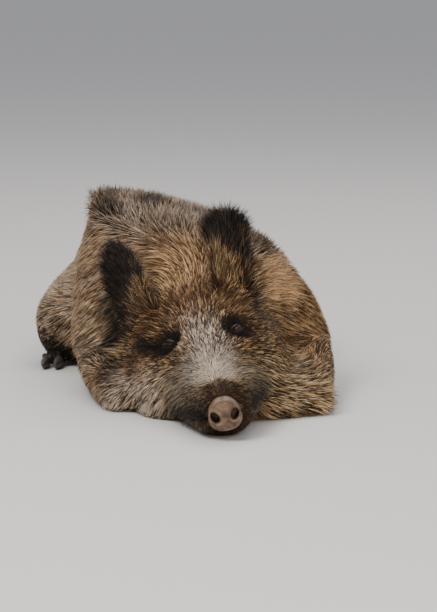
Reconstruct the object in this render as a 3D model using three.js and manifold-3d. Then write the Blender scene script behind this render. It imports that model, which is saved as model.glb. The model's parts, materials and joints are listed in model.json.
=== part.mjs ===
// Wild boar, an adult sow, life size, asleep on its chest with the chin on the floor.
// Millimetres, +Z up. The snout points to -Y and +X is the animal's left side.
// The body is one loft from snout to rump, drawn out to the tips of the coat, and parted by thin cuts.
// A station is a distance behind the tip of the snout, and every height is above the floor.
import * as THREE from "three";
import { mergeVertices } from "three/addons/utils/BufferGeometryUtils.js";
import Module from "manifold-3d";

const wasm = await Module();
wasm.setup();

// ---- driving sizes ----
const GAP = 0.4; // thin cut between neighbouring parts
const SIDES = 28; // facets round the body
const HEAD_STEP = 21; // distance between rings along the head
const TRUNK_STEP = 42; // distance between rings along neck and trunk
const HEAD_END = 372; // station of the cut between head and neck
const NECK_END = 478; // station of the cut between neck and trunk
const BODY_END = 1236; // station of the rump's hindmost ring
const CUT_CLEAR = 60; // how far a cutting shape runs past what it cuts

const DISC = { front: -9, back: 8, halfWidth: 31, high: 33, middle: 53, lean: 9, sides: 22 };
const NOSTRIL = { apart: 37, height: 50, across: 6.5, tall: 10, depth: 11, sides: 10 };
const EYE = { station: 236, angle: 55, radius: 12, depth: 5, room: 0.6, sides: 12, rows: 8 };
const EAR = { station: 336, sunk: 42, length: 202, width: 92, thick: 12, edge: 3, tip: 7, cup: 0.6,
  rootShare: 0.9, tipShare: 0.8, belly: 0.16, arch: 10, thinning: 0.45, rings: 8, sides: 6 };
const CLAWS = [ // ahead is how far along the foot they start, in its radii
  { kind: "hoof", length: 46, width: 21, high: 30, apart: 13, ahead: 0.55, rise: 0, sides: 7, rings: 3 },
  { kind: "dewclaw", length: 22, width: 12, high: 13, apart: 23, ahead: -0.6, rise: 14, sides: 6, rings: 2 },
];
const CLAW_LEVEL = 0.42; // height of a claw's middle, as a share of how high it is
const CLAW_TIP = 0.12; // how wide its blunt end is, as a share of the claw
const LIMB = { sides: 10, rings: 2 }; // rings to each joint
const CAP = [[0.62, 0.78], [0.93, 0.36]]; // round ends: how far out and how wide, in radii
const TAIL_RINGS = 13;

const COAT = { color: 0x6b5540, roughness: 0.9 };
const DARK_COAT = { color: 0x2a2320, roughness: 0.9 };
const NOSE_SKIN = { color: 0x5a4038, roughness: 0.5 };
const EYE_WET = { color: 0x1a0f0a, roughness: 0.08 };
const HORN = { color: 0x241d19, roughness: 0.45 };

// ---- profiles along the body: [station, size] knots joined by a smooth curve ----
const top = profile([[0, 86], [50, 94], [110, 111], [170, 138], [236, 178], [290, 214], [335, 240],
  [385, 264], [450, 308], [520, 362], [580, 391], [640, 394], [720, 368], [820, 342], [950, 326],
  [1060, 312], [1130, 284], [1195, 220], [1236, 145]]);
const halfWidth = profile([[0, 33], [30, 44], [60, 53], [110, 64], [170, 84], [225, 113], [280, 130],
  [340, 144], [400, 166], [460, 208], [530, 253], [620, 232], [700, 214], [800, 206], [1000, 206],
  [1080, 198], [1150, 168], [1205, 116], [1236, 50]]);
const widest = profile([[0, 53], [120, 52], [236, 68], [340, 84], [460, 92], [600, 98], [800, 110],
  [1000, 116], [1236, 112]]);
// The belly's line. Where it is below the floor the section is cut flat, which gives the resting flats.
const low = profile([[0, 22], [28, 9], [55, -3], [120, -8], [400, -10], [1130, -12], [1236, 70]]);
const sideways = profile([[0, 11], [60, 9], [150, 2], [236, -6], [372, -18], [560, -30], [700, -56], [850, -88],
  [1100, -116], [1236, -124]]);
const roll = profile([[0, -13], [400, -13], [520, -6], [620, -3], [1236, -3]]); // degrees
const spineTip = profile([[0, 0], [370, 0], [450, 70], [560, 180], [640, 184], [760, 100], [900, 62],
  [1236, 20]]); // how far the spine is tipped towards the right side
const leftShape = profile([[0, 2.5], [150, 2.2], [300, 2.1], [420, 2.05], [540, 2.15], [700, 2.1],
  [850, 2.0], [1236, 2.1]]); // roundness of the upper left side: 1 is a straight slope, 2 an ellipse
const rightShape = profile([[0, 2.5], [150, 2.2], [300, 2.1], [400, 1.8], [540, 1.28], [680, 1.3],
  [850, 1.8], [1236, 2.1]]);
const LOWER_SHAPE = 2.7; // roundness of both sides below the widest line
const ROLL_HEIGHT = 110; // below this the floor holds the sides level

// Soft forms that stand out of the loft, or hollows where reach is negative.
// station and angle place the middle, angle 0 level with the side and 90 on the crest.
const FORMS = [
  { name: "brow", station: 226, angle: 74, reach: 5, long: 17, round: 9 },
  { name: "eye hollow", station: 238, angle: 58, reach: -8, long: 15, round: 11 },
  { name: "cheek bone", station: 268, angle: 22, reach: 10, long: 30, round: 20 },
  { name: "jowl", station: 305, angle: -22, reach: 16, long: 44, round: 24 },
  { name: "beard", station: 168, angle: -36, reach: 78, long: 56, round: 24 },
  { name: "upper lip", station: 78, angle: 4, reach: 8, long: 26, round: 22 },
  { name: "snout hollow", station: 150, angle: 44, reach: -5, long: 34, round: 16 },
  { name: "shoulder blade", station: 565, angle: 28, reach: 13, long: 60, round: 22 },
  { name: "flank hollow", station: 990, angle: 50, reach: -8, long: 60, round: 20 },
];

// ---- limbs: folded lengths from the body to the foot, each a run of joints [x, y, z, radius] ----
const LEGS = {
  foreleg_left: [
    [[80, 600, 124, 40], [146, 515, 78, 66], [167, 400, 46, 47], [168, 262, 33, 35]],
    [[165, 264, 32, 30], [100, 398, 24, 22]],
  ],
  foreleg_right: [
    [[-160, 610, 124, 40], [-226, 525, 78, 66], [-228, 405, 46, 47], [-205, 300, 33, 35]],
    [[-202, 302, 32, 30], [-142, 420, 24, 22]],
  ],
  hindleg_left: [
    [[-30, 1030, 150, 66], [50, 930, 122, 92], [100, 830, 88, 80]],
    [[106, 830, 60, 50], [120, 1000, 40, 34]],
    [[122, 1000, 34, 30], [166, 806, 24, 21]],
  ],
  hindleg_right: [
    [[-180, 1030, 150, 66], [-266, 930, 120, 94], [-314, 816, 82, 86]],
    [[-306, 830, 58, 50], [-312, 1000, 40, 34]],
    [[-314, 1000, 34, 30], [-350, 776, 24, 21]],
  ],
};
const TAIL = [[-122, 1185, 240, 20], [-124, 1232, 200, 16], [-127, 1250, 140, 12], [-126, 1258, 84, 10],
  [-118, 1268, 36, 12], [-96, 1284, 14, 14], [-66, 1296, 11, 12], [-44, 1300, 9, 8]];

// ---- tools ----

// A smooth curve through knots, with no overshoot between them.
function profile(knots) {
  const x = knots.map((k) => k[0]);
  const y = knots.map((k) => k[1]);
  const rise = x.slice(1).map((v, i) => (y[i + 1] - y[i]) / (v - x[i]));
  const slope = y.map((_, i) => {
    if (i === 0) return rise[0];
    if (i === y.length - 1) return rise[i - 1];
    return rise[i - 1] * rise[i] <= 0 ? 0 : (2 * rise[i - 1] * rise[i]) / (rise[i - 1] + rise[i]);
  });
  return (at) => {
    const s = THREE.MathUtils.clamp(at, x[0], x[x.length - 1]);
    let i = 0;
    while (i < x.length - 2 && s > x[i + 1]) i += 1;
    const span = x[i + 1] - x[i];
    const t = (s - x[i]) / span;
    const h = t * t * (3 - 2 * t);
    return y[i] * (1 - h) + y[i + 1] * h
      + span * t * (1 - t) * ((1 - t) * slope[i] - t * slope[i + 1]);
  };
}

function radians(degrees) {
  return THREE.MathUtils.degToRad(degrees);
}

function vector(x, y, z) {
  return new THREE.Vector3(x, y, z);
}

// A closed mesh over rings of points. Each end is a fan, or a strip where the ring is a thin folded leaf.
function over(rings, folded = false) {
  const count = rings[0].length;
  const points = rings.flat();
  const faces = [];
  for (let j = 0; j + 1 < rings.length; j += 1) {
    for (let i = 0; i < count; i += 1) {
      const a = j * count + i;
      const b = j * count + ((i + 1) % count);
      faces.push(a, a + count, b, b, a + count, b + count);
    }
  }
  [rings[0], rings[rings.length - 1]].forEach((ring, end) => {
    const first = end * (rings.length - 1) * count;
    const face = (a, b, c) => faces.push(a, end ? c : b, end ? b : c);
    if (folded) {
      for (let i = 0; i + 1 < count / 2; i += 1) {
        const across = count - 1 - i;
        face(first + i, first + i + 1, first + across);
        face(first + i + 1, first + across - 1, first + across);
      }
    } else {
      points.push(ring.reduce((sum, p) => sum.add(p), vector(0, 0, 0)).divideScalar(count));
      for (let i = 0; i < count; i += 1) face(points.length - 1, first + i, first + ((i + 1) % count));
    }
  });
  return new THREE.BufferGeometry().setFromPoints(points).setIndex(faces);
}

// A closed geometry as a solid with its faces pointing out.
function solid(geometry) {
  const bare = geometry.index ? geometry.toNonIndexed() : geometry.clone();
  bare.deleteAttribute("normal");
  bare.deleteAttribute("uv");
  const merged = mergeVertices(bare, 1e-3);
  const corners = Array.from(merged.index.array);
  const faces = [];
  for (let i = 0; i < corners.length; i += 3) {
    const [a, b, c] = corners.slice(i, i + 3);
    if (a !== b && b !== c && a !== c) faces.push([a, b, c]);
  }
  const made = (order) => new wasm.Manifold(new wasm.Mesh({
    numProp: 3,
    vertProperties: merged.getAttribute("position").array,
    triVerts: new Uint32Array(order.flat()),
  }));
  const first = made(faces);
  return first.volume() > 0 ? first : made(faces.map(([a, b, c]) => [a, c, b]));
}

function geometryOf(made) {
  const mesh = made.getMesh();
  return new THREE.BufferGeometry()
    .setAttribute("position", new THREE.BufferAttribute(mesh.vertProperties, 3))
    .setIndex(new THREE.BufferAttribute(mesh.triVerts, 1));
}

function joined(pieces) {
  return pieces.reduce((sum, piece) => sum.add(piece));
}

function without(made, ...cutters) {
  return cutters.reduce((left, cutter) => left.subtract(cutter), made);
}

// The largest of the separate bodies that a cut leaves.
function mainBody(made) {
  return made.decompose().reduce((best, piece) => (piece.volume() > best.volume() ? piece : best));
}

const FLOOR_SLAB = solid(new THREE.BoxGeometry(4000, 4000, 400).translate(0, 0, -200));

// ---- the body's own surface ----

function gauss(distance, spread) {
  return Math.exp(-0.5 * (distance / spread) ** 2);
}

function standOut(station, angle) {
  const sideAngle = angle > 90 && angle < 270 ? 180 - angle : angle > 270 ? angle - 360 : angle;
  return FORMS.reduce((sum, form) => sum + form.reach * gauss(station - form.station, form.long)
    * gauss(sideAngle - form.angle, form.round), 0);
}

function power(value, shape) {
  return Math.sign(value) * Math.abs(value) ** (2 / shape);
}

// Turns a place in the upright animal into the pose: rolled, its spine tipped over, shifted, on the floor.
function posed(across, station, height) {
  const turn = radians(roll(station));
  const free = THREE.MathUtils.clamp(height / ROLL_HEIGHT, 0, 1);
  const x = across * Math.cos(turn) + height * Math.sin(turn);
  const z = height * Math.cos(turn) - across * Math.sin(turn) * free;
  const tipped = x - spineTip(station) * (height / top(station)) ** 2;
  return vector(tipped + sideways(station), station, Math.max(z, 0));
}

// The point of the upright body at a station and an angle, angle 0 at its left side and 90 on the crest.
function upright(station, angle, grow = 0) {
  const a = radians(angle);
  const upperShape = Math.cos(a) > 0 ? leftShape(station) : rightShape(station);
  const shape = Math.sin(a) > 0 ? upperShape : LOWER_SHAPE;
  const rise = Math.sin(a) > 0 ? top(station) - widest(station) : widest(station) - low(station);
  const x = halfWidth(station) * power(Math.cos(a), shape);
  const z = rise * power(Math.sin(a), shape);
  const stretch = 1 + (standOut(station, angle) + grow) / Math.hypot(x, z);
  return [x * stretch, widest(station) + z * stretch];
}

function surfaceAt(station, angle, grow = 0) {
  const [across, height] = upright(station, angle, grow);
  return posed(across, station, height);
}

// The way out of the body at a place on its surface.
function outwardAt(station, angle) {
  const along = surfaceAt(station + 4, angle).sub(surfaceAt(station - 4, angle));
  const round = surfaceAt(station, angle + 3).sub(surfaceAt(station, angle - 3));
  return along.cross(round).multiplyScalar(-1).normalize();
}

function stationsBetween(from, to, step) {
  const count = Math.max(2, Math.round((to - from) / step));
  return Array.from({ length: count + 1 }, (_, i) => from + ((to - from) * i) / count);
}

function bodyPiece(from, to, step, grow = 0) {
  return solid(over(stationsBetween(from, to, step).map((station) =>
    Array.from({ length: SIDES }, (_, i) => surfaceAt(station, (360 * i) / SIDES, grow)))));
}

// ---- head details ----

// The flat end of the snout: an upright oval, its top leaning forward.
function snoutDisc(grow = 0) {
  const thickness = [[DISC.front, 0.9], [DISC.front + 3, 1], [DISC.back + grow, 1]];
  const rings = thickness.map(([y, share]) => Array.from({ length: DISC.sides }, (_, i) => {
    const a = (2 * Math.PI * i) / DISC.sides;
    const across = (DISC.halfWidth * share + grow) * power(Math.cos(a), 2.4);
    const up = (DISC.high * share + grow) * power(Math.sin(a), 2.2);
    const leaning = y - (y < DISC.back ? up * Math.tan(radians(DISC.lean)) : 0);
    return posed(across, 0, DISC.middle + up).setY(leaning);
  }));
  return solid(over(rings));
}

function nostril(side) {
  const rings = [DISC.front - CUT_CLEAR / 2, DISC.front + NOSTRIL.depth].map((y, end) =>
    Array.from({ length: NOSTRIL.sides }, (_, i) => {
      const a = (2 * Math.PI * i) / NOSTRIL.sides;
      const share = end ? 0.6 : 1;
      const across = side * (NOSTRIL.apart / 2) + NOSTRIL.across * share * Math.cos(a);
      return posed(across, 0, NOSTRIL.height + NOSTRIL.tall * share * Math.sin(a)).setY(y);
    }));
  return solid(over(rings));
}

// side is 1 on the animal's left and -1 on its right, here and below.
function onSide(angle, side) {
  return side > 0 ? angle : 180 - angle;
}

function eyeball(side, grow = 0) {
  const angle = onSide(EYE.angle, side);
  const middle = surfaceAt(EYE.station, angle).addScaledVector(outwardAt(EYE.station, angle), -EYE.depth);
  return solid(new THREE.SphereGeometry(EYE.radius + grow, EYE.sides, EYE.rows).translate(...middle.toArray()));
}

// The open hollow over the eyeball, so that the socket reaches the outside.
function socket(side) {
  const angle = onSide(EYE.angle, side);
  const out = outwardAt(EYE.station, angle);
  const radius = EYE.radius + EYE.room;
  return solid(new THREE.CylinderGeometry(radius, radius, 3 * EYE.radius, EYE.sides)
    .translate(0, 1.5 * EYE.radius - EYE.depth, 0)
    .applyQuaternion(new THREE.Quaternion().setFromUnitVectors(vector(0, 1, 0), out))
    .translate(...surfaceAt(EYE.station, angle).toArray()));
}

// An ear: a cupped leaf with a blunt tip. angle is its place round the head, lean tips it outwards,
// back tips it rearwards and turn faces its opening outwards.
function ear(side, { angle, lean, back, turn }, grow = 0) {
  const root = surfaceAt(EAR.station, onSide(angle, side), -EAR.sunk);
  const up = vector(side * Math.sin(radians(lean)), Math.sin(radians(back)), 1).normalize();
  const facing = vector(side * Math.sin(radians(turn)), -Math.cos(radians(turn)), 0);
  facing.addScaledVector(up, -facing.dot(up)).normalize();
  const across = up.clone().cross(facing);
  const rings = Array.from({ length: EAR.rings + 1 }, (_, j) => {
    const t = j / EAR.rings;
    const taper = THREE.MathUtils.lerp(EAR.rootShare, EAR.tipShare, t) + EAR.belly * Math.sin(Math.PI * t);
    const leaf = 0.5 * EAR.width * taper * Math.sqrt(1 - t ** 9);
    const reach = Math.max(leaf, EAR.tip);
    const middle = root.clone().addScaledVector(up, t * EAR.length + (2 * t - 1) * grow)
      .addScaledVector(facing, EAR.arch * Math.sin(Math.PI * t) + 0.45 * EAR.cup * reach * (1 - t));
    const section = (share, face) => {
      const bend = EAR.cup * reach * (1 - 0.5 * t) * (1 - share * share);
      const swell = EAR.thick * (1 - EAR.thinning * t) * Math.sqrt(Math.max(0, 1 - share ** 4));
      const half = Math.max(swell, EAR.edge) / 2 + grow;
      const aside = share * reach + (Math.abs(share) === 1 ? share * grow : 0);
      return middle.clone().addScaledVector(across, aside).addScaledVector(facing, face * half - bend);
    };
    const shares = Array.from({ length: EAR.sides + 1 }, (_, i) => (2 * i) / EAR.sides - 1);
    return [...shares.map((share) => section(share, 1)), ...shares.map((share) => section(-share, -1))];
  });
  return solid(over(rings, true));
}

// ---- limbs ----

// A length of flesh through joints [x, y, z, radius], with a round cap on each end.
function sleeve(joints, rings, grow = 0) {
  const path = new THREE.CatmullRomCurve3(joints.map(([x, y, z]) => vector(x, y, z)));
  const radiusAt = profile(joints.map((joint, i) => [i / (joints.length - 1), joint[3]]));
  const frames = path.computeFrenetFrames(rings);
  const places = Array.from({ length: rings + 1 }, (_, i) => ({ i, ahead: 0, share: 1 }));
  const cap = (i, way) => CAP.map(([ahead, share]) => ({ i, ahead: way * ahead, share }));
  const all = [...cap(0, -1).reverse(), ...places, ...cap(rings, 1)];
  return solid(over(all.map(({ i, ahead, share }) => {
    const radius = radiusAt(path.getUtoTmapping(i / rings)) + grow;
    const centre = path.getPointAt(i / rings).addScaledVector(frames.tangents[i], ahead * radius);
    return Array.from({ length: LIMB.sides }, (_, k) => {
      const a = (2 * Math.PI * k) / LIMB.sides;
      return centre.clone().addScaledVector(frames.normals[i], share * radius * Math.cos(a))
        .addScaledVector(frames.binormals[i], share * radius * Math.sin(a));
    });
  }))).subtract(FLOOR_SLAB);
}

function leg(name, grow = 0) {
  return joined(LEGS[name].map((joints) => sleeve(joints, LIMB.rings * (joints.length - 1), grow)));
}

// A pointed toe or dewclaw of horn that runs from start along the floor.
function claw(size, start, along, grow = 0) {
  const across = vector(along.y, -along.x, 0);
  const rings = Array.from({ length: size.rings + 1 }, (_, j) => {
    const t = j / size.rings;
    const share = Math.max(CLAW_TIP, Math.sqrt(1 - t ** 2.4));
    return Array.from({ length: size.sides }, (_, i) => {
      const a = (2 * Math.PI * i) / size.sides;
      return start.clone().addScaledVector(along, t * size.length + (2 * t - 1) * grow)
        .addScaledVector(across, -(0.5 * size.width * share + grow) * Math.cos(a))
        .add(vector(0, 0, (0.5 * size.high * share + grow) * Math.sin(a)));
    });
  });
  return solid(over(rings)).subtract(FLOOR_SLAB);
}

// The four claws of one foot, each with a name and a maker that can grow it.
function clawsOf(legName) {
  const [from, [x, y, z, radius]] = LEGS[legName].at(-1).slice(-2);
  const along = vector(x - from[0], y - from[1], 0).normalize();
  const side = legName.endsWith("left") ? 1 : -1;
  const outwards = vector(along.y, -along.x, 0).multiplyScalar(side * Math.sign(along.y));
  const foot = legName.replace("leg", "");
  return CLAWS.flatMap((size) => [["inner", -1], ["outer", 1]].map(([place, hand]) => {
    const level = Math.min(CLAW_LEVEL * size.high, z) + size.rise;
    const start = vector(x, y, level).addScaledVector(along, size.ahead * radius)
      .addScaledVector(outwards, hand * size.apart);
    return { name: `${size.kind}_${foot}_${place}`, make: (grow) => claw(size, start, along, grow) };
  }));
}

// ---- build ----
const boar = new THREE.Group();

function add(name, made, look) {
  const material = new THREE.MeshStandardMaterial({ ...look, metalness: 0 });
  const mesh = new THREE.Mesh(geometryOf(made), material);
  mesh.name = name;
  boar.add(mesh);
}

const EARS = {
  ear_left: (grow) => ear(1, { angle: 47, lean: -7, back: 18, turn: 20 }, grow),
  ear_right: (grow) => ear(-1, { angle: 36, lean: 29, back: 14, turn: 32 }, grow),
};
const legNames = Object.keys(LEGS);
const grownLegs = legNames.map((name) => leg(name, GAP));
const claws = legNames.map((name) => clawsOf(name));
const grownClaws = claws.flat().map((piece) => piece.make(GAP));
const grownEars = Object.values(EARS).map((make) => make(2 * GAP));
const grownTail = sleeve(TAIL, TAIL_RINGS, GAP);

const eyeRoom = [1, -1].flatMap((side) => [socket(side), eyeball(side, EYE.room)]);
const head = without(bodyPiece(0, HEAD_END, HEAD_STEP), snoutDisc(GAP), ...eyeRoom, ...grownEars,
  ...grownLegs);
const neck = without(bodyPiece(HEAD_END + GAP, NECK_END, TRUNK_STEP), ...grownLegs, ...grownClaws,
  ...grownEars);
const trunk = without(bodyPiece(NECK_END + GAP, BODY_END, TRUNK_STEP), ...grownLegs, ...grownClaws,
  grownTail);

add("head", mainBody(head), COAT);
add("neck", mainBody(neck), COAT);
add("trunk", mainBody(trunk), COAT);
add("snout_disc", without(snoutDisc(), nostril(1), nostril(-1)), NOSE_SKIN);
add("eye_left", eyeball(1), EYE_WET);
add("eye_right", eyeball(-1), EYE_WET);
Object.entries(EARS).forEach(([name, make]) => add(name, make(0), DARK_COAT));
legNames.forEach((name, i) => {
  const ownClaws = claws[i].map((piece) => piece.make(GAP));
  add(name, mainBody(without(leg(name), ...ownClaws)), DARK_COAT);
  claws[i].forEach((piece) => add(piece.name, piece.make(0), HORN));
});
add("tail", sleeve(TAIL, TAIL_RINGS), DARK_COAT);

// The origin is on the floor, under the middle of the whole animal.
const middle = new THREE.Box3().setFromObject(boar).getCenter(vector(0, 0, 0));
boar.position.set(-middle.x, -middle.y, 0);

export default boar;
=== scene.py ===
"""A wild boar sow, life size, asleep on its chest with the chin on the floor.

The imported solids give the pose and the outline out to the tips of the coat. Here one skin lies
inside them by the depth of the coat and carries the folds of the face, the lids and the ears, and
tufts of solid hair grow out of it along the lie of the coat. All lengths are in metres.
"""

import itertools
import json
import logging
import math
from collections.abc import Callable, Sequence
from dataclasses import dataclass

import bpy
import numpy as np
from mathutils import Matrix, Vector
from mathutils.bvhtree import BVHTree
from mathutils.kdtree import KDTree

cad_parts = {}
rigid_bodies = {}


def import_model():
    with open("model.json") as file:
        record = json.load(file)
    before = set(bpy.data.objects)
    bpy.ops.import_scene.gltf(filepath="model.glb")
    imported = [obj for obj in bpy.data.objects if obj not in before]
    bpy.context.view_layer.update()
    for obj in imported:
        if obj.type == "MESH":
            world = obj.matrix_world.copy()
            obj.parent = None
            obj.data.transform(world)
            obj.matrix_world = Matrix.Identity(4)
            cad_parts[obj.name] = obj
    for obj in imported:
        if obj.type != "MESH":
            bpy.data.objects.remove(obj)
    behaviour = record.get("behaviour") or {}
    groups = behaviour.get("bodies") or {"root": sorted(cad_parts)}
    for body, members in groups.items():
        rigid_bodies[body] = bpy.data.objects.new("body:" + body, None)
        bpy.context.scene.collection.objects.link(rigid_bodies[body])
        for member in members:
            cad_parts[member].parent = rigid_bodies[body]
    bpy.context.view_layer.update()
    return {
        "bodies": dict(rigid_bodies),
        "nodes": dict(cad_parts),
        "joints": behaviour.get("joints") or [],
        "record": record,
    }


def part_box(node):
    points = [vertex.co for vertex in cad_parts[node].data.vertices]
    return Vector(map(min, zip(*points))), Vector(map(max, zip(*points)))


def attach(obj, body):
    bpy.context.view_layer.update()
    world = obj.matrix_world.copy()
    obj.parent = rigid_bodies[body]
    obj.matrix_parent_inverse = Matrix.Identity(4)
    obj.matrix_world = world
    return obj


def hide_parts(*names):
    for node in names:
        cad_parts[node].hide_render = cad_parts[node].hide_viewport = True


log = logging.getLogger("wild_boar")

BODY = "root"
MM = 0.001
LEGS = ("foreleg_left", "foreleg_right", "hindleg_left", "hindleg_right")
EARS = ("ear_left", "ear_right")
EYES = ("eye_left", "eye_right")
TORSO = ("head", "neck", "trunk", "tail", *LEGS)
SETTLE = 1.2 * MM  # how softly the tips of the coat come to rest on the floor
SEED = 20

Colour = tuple[float, float, float]
Socket = bpy.types.NodeSocket


# ---- sums over many points ----


def smooth(low: float, high: float, value: np.ndarray) -> np.ndarray:
    """A soft step.

    Args:
        low: Where the step starts.
        high: Where it is complete.
        value: The numbers to test.

    Returns:
        0 below low, 1 above high, and a smooth rise between.
    """
    t = np.clip((value - low) / (high - low), 0.0, 1.0)
    return t * t * (3.0 - 2.0 * t)


def fall(low: float, high: float, value: np.ndarray) -> np.ndarray:
    """A soft step down, from 1 below low to 0 above high."""
    return 1.0 - smooth(low, high, value)


def span(value: np.ndarray, rises: tuple[float, float], falls: tuple[float, float]) -> np.ndarray:
    """1 in a stretch of values, 0 outside it, with a soft step up and a soft step down.

    Args:
        value: The numbers to test.
        rises: Where the step up starts and is complete.
        falls: Where the step down starts and is complete.

    Returns:
        The share of the stretch at each value.
    """
    return smooth(*rises, value) * fall(*falls, value)


def bell(value: np.ndarray, middle: float, spread: float) -> np.ndarray:
    """A bell curve of height 1.

    Args:
        value: The numbers to test.
        middle: Where the bell is highest.
        spread: How far its shoulders reach.

    Returns:
        The bell's height at each value.
    """
    return np.exp(-0.5 * ((value - middle) / spread) ** 2)


def mix(base: np.ndarray | float, other: np.ndarray | float, share: np.ndarray) -> np.ndarray:
    """Goes from one value to another.

    Args:
        base: The value where share is 0.
        other: The value where share is 1.
        share: How much of the other value counts.

    Returns:
        The mixed values.
    """
    if isinstance(base, np.ndarray) and base.ndim == 2 or isinstance(other, np.ndarray) and other.ndim == 2:
        share = share[:, None]
    return base * (1.0 - share) + other * share


def layered(base: np.ndarray | float, *layers: tuple[np.ndarray | float, np.ndarray]) -> np.ndarray:
    """Lays values over a base, each by its share.

    Args:
        base: The value where no layer counts.
        layers: A value and its share, from the lowest layer up.

    Returns:
        The mixed values.
    """
    for value, share in layers:
        base = mix(base, value, share)
    return base


def nearest(points: np.ndarray, centres: Sequence[np.ndarray]) -> np.ndarray:
    """Distance from each place to the nearest of some centres."""
    return np.min([np.linalg.norm(points - centre, axis=1) for centre in centres], axis=0)


def unit(vectors: np.ndarray) -> np.ndarray:
    """Rows of vectors, each brought to length 1."""
    return vectors / np.maximum(np.linalg.norm(vectors, axis=1, keepdims=True), 1e-9)


def noise(points: np.ndarray, cell: float, seed: int) -> np.ndarray:
    """Smooth noise, the same on every run.

    Args:
        points: Places, one in each row.
        cell: The size of its patches.
        seed: Which noise of many.

    Returns:
        A value from -1 to 1 at each place.
    """
    scaled = points / cell
    base = np.floor(scaled).astype(np.int64)
    part = scaled - base
    part = part * part * (3.0 - 2.0 * part)
    total = np.zeros(len(points))
    for corner in itertools.product((0, 1), repeat=3):
        x, y, z = (base + corner).T
        key = (x * 73856093 ^ y * 19349663 ^ z * 83492791 ^ (seed + 7) * 2654435761) & 0xFFFFFFFF
        key = ((key ^ (key >> 13)) * 1274126177) & 0xFFFFFFFF
        key = ((key ^ (key >> 15)) * 2246822519) & 0xFFFFFFFF
        value = ((key ^ (key >> 16)) & 0xFFFF) / 32767.5 - 1.0
        total += value * np.prod(np.where(corner, part, 1.0 - part), axis=1)
    return total


# ---- the animal's own places ----


def middle_of(node: str) -> np.ndarray:
    """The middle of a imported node's box."""
    return np.mean([np.array(corner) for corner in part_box(node)], axis=0)


@dataclass(frozen=True)
class Landmarks:
    """Places on the head and body that all the rest is measured from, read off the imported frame.

    Attributes:
        between_eyes: The middle between the eyes.
        to_left: The way from the right eye to the left one.
        head_up: The way up along the tilted head.
        snout: The middle of the snout disc.
        snout_along: How far behind the eyes the snout is, which is negative.
        snout_aside: How far to the left of the eyes' middle the snout is.
        crest_height: Height of the trunk's highest place.
    """

    between_eyes: np.ndarray
    to_left: np.ndarray
    head_up: np.ndarray
    snout: np.ndarray
    snout_along: float
    snout_aside: float
    crest_height: float

    @classmethod
    def read(cls) -> "Landmarks":
        """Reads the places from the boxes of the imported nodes.

        Returns:
            The landmarks.
        """
        left, right = (middle_of(node) for node in EYES)
        between = (left + right) / 2
        to_left = (left - right) / np.linalg.norm(left - right)
        head_up = np.cross(to_left, (0.0, 1.0, 0.0))
        head_up = head_up / np.linalg.norm(head_up)
        snout = middle_of("snout_disc")
        return cls(
            between_eyes=between,
            to_left=to_left,
            head_up=head_up,
            snout=snout,
            snout_along=float(snout[1] - between[1]),
            snout_aside=float((snout - between) @ to_left),
            crest_height=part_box("trunk")[1].z,
        )

    def on_head(self, points: np.ndarray) -> tuple[np.ndarray, np.ndarray, np.ndarray]:
        """Places in the tilted head's own directions, from the middle between the eyes.

        Args:
            points: Places, one in each row.

        Returns:
            How far to the left of the head's middle line, how far behind the eyes and how far above.
        """
        away = points - self.between_eyes
        along = away[:, 1]
        bend = self.snout_aside * np.clip(along / self.snout_along, -0.6, 1.0)
        return away @ self.to_left - bend, along, away @ self.head_up


# ---- modelling by hand ----


def only(*things: bpy.types.Object) -> None:
    """Selects these objects and nothing else, and makes the first active."""
    bpy.ops.object.select_all(action="DESELECT")
    for thing in things:
        thing.select_set(True)
    bpy.context.view_layer.objects.active = things[0]


def apply(thing: bpy.types.Object, kind: str, **settings: object) -> None:
    """Adds a modifier, sets it and applies it.

    Args:
        thing: The object to shape.
        kind: The modifier's type.
        settings: Its values by name.
    """
    only(thing)
    modifier = thing.modifiers.new(kind.lower(), kind)
    for name, value in settings.items():
        setattr(modifier, name, value)
    bpy.ops.object.modifier_apply(modifier=modifier.name)


def copy_of(nodes: Sequence[bpy.types.Object], name: str) -> bpy.types.Object:
    """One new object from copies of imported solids, each closed up by merging its corners.

    Args:
        nodes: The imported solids.
        name: The new object's name.

    Returns:
        The joined copy.
    """
    copies = []
    for node in nodes:
        made = bpy.data.objects.new(name, node.data.copy())
        made.data.materials.clear()
        bpy.context.scene.collection.objects.link(made)
        copies.append(made)
    only(*copies)
    if len(copies) > 1:
        bpy.ops.object.join()
    made = bpy.context.view_layer.objects.active
    made.name = made.data.name = name
    bpy.ops.object.mode_set(mode="EDIT")
    bpy.ops.mesh.select_all(action="SELECT")
    bpy.ops.mesh.remove_doubles(threshold=0.01 * MM)
    bpy.ops.object.mode_set(mode="OBJECT")
    return made


def join(whole: bpy.types.Object, part: bpy.types.Object) -> None:
    """Joins a part to the whole."""
    only(whole, part)
    bpy.ops.object.join()


def new_ball(segments: int, rings: int, radius: float, **place: object) -> bpy.types.Object:
    """Adds a ball.

    Args:
        segments: Its faces round the equator.
        rings: Its faces from pole to pole.
        radius: Its radius.
        place: Its location or rotation.

    Returns:
        The ball, with its own origin at the origin.
    """
    bpy.ops.object.select_all(action="DESELECT")
    bpy.ops.mesh.primitive_uv_sphere_add(segments=segments, ring_count=rings, radius=radius, **place)
    ball = bpy.context.view_layer.objects.active
    bpy.ops.object.transform_apply(location=True, rotation=True, scale=True)
    return ball


def corner_values(thing: bpy.types.Object, what: str) -> np.ndarray:
    """Reads a value of three numbers at each corner of a mesh.

    Args:
        thing: The object.
        what: co or normal.

    Returns:
        The values, one in each row.
    """
    values = np.empty(len(thing.data.vertices) * 3)
    thing.data.vertices.foreach_get(what, values)
    return values.reshape(-1, 3)


def places(thing: bpy.types.Object) -> np.ndarray:
    """The corners of a mesh, one in each row."""
    return corner_values(thing, "co")


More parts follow.
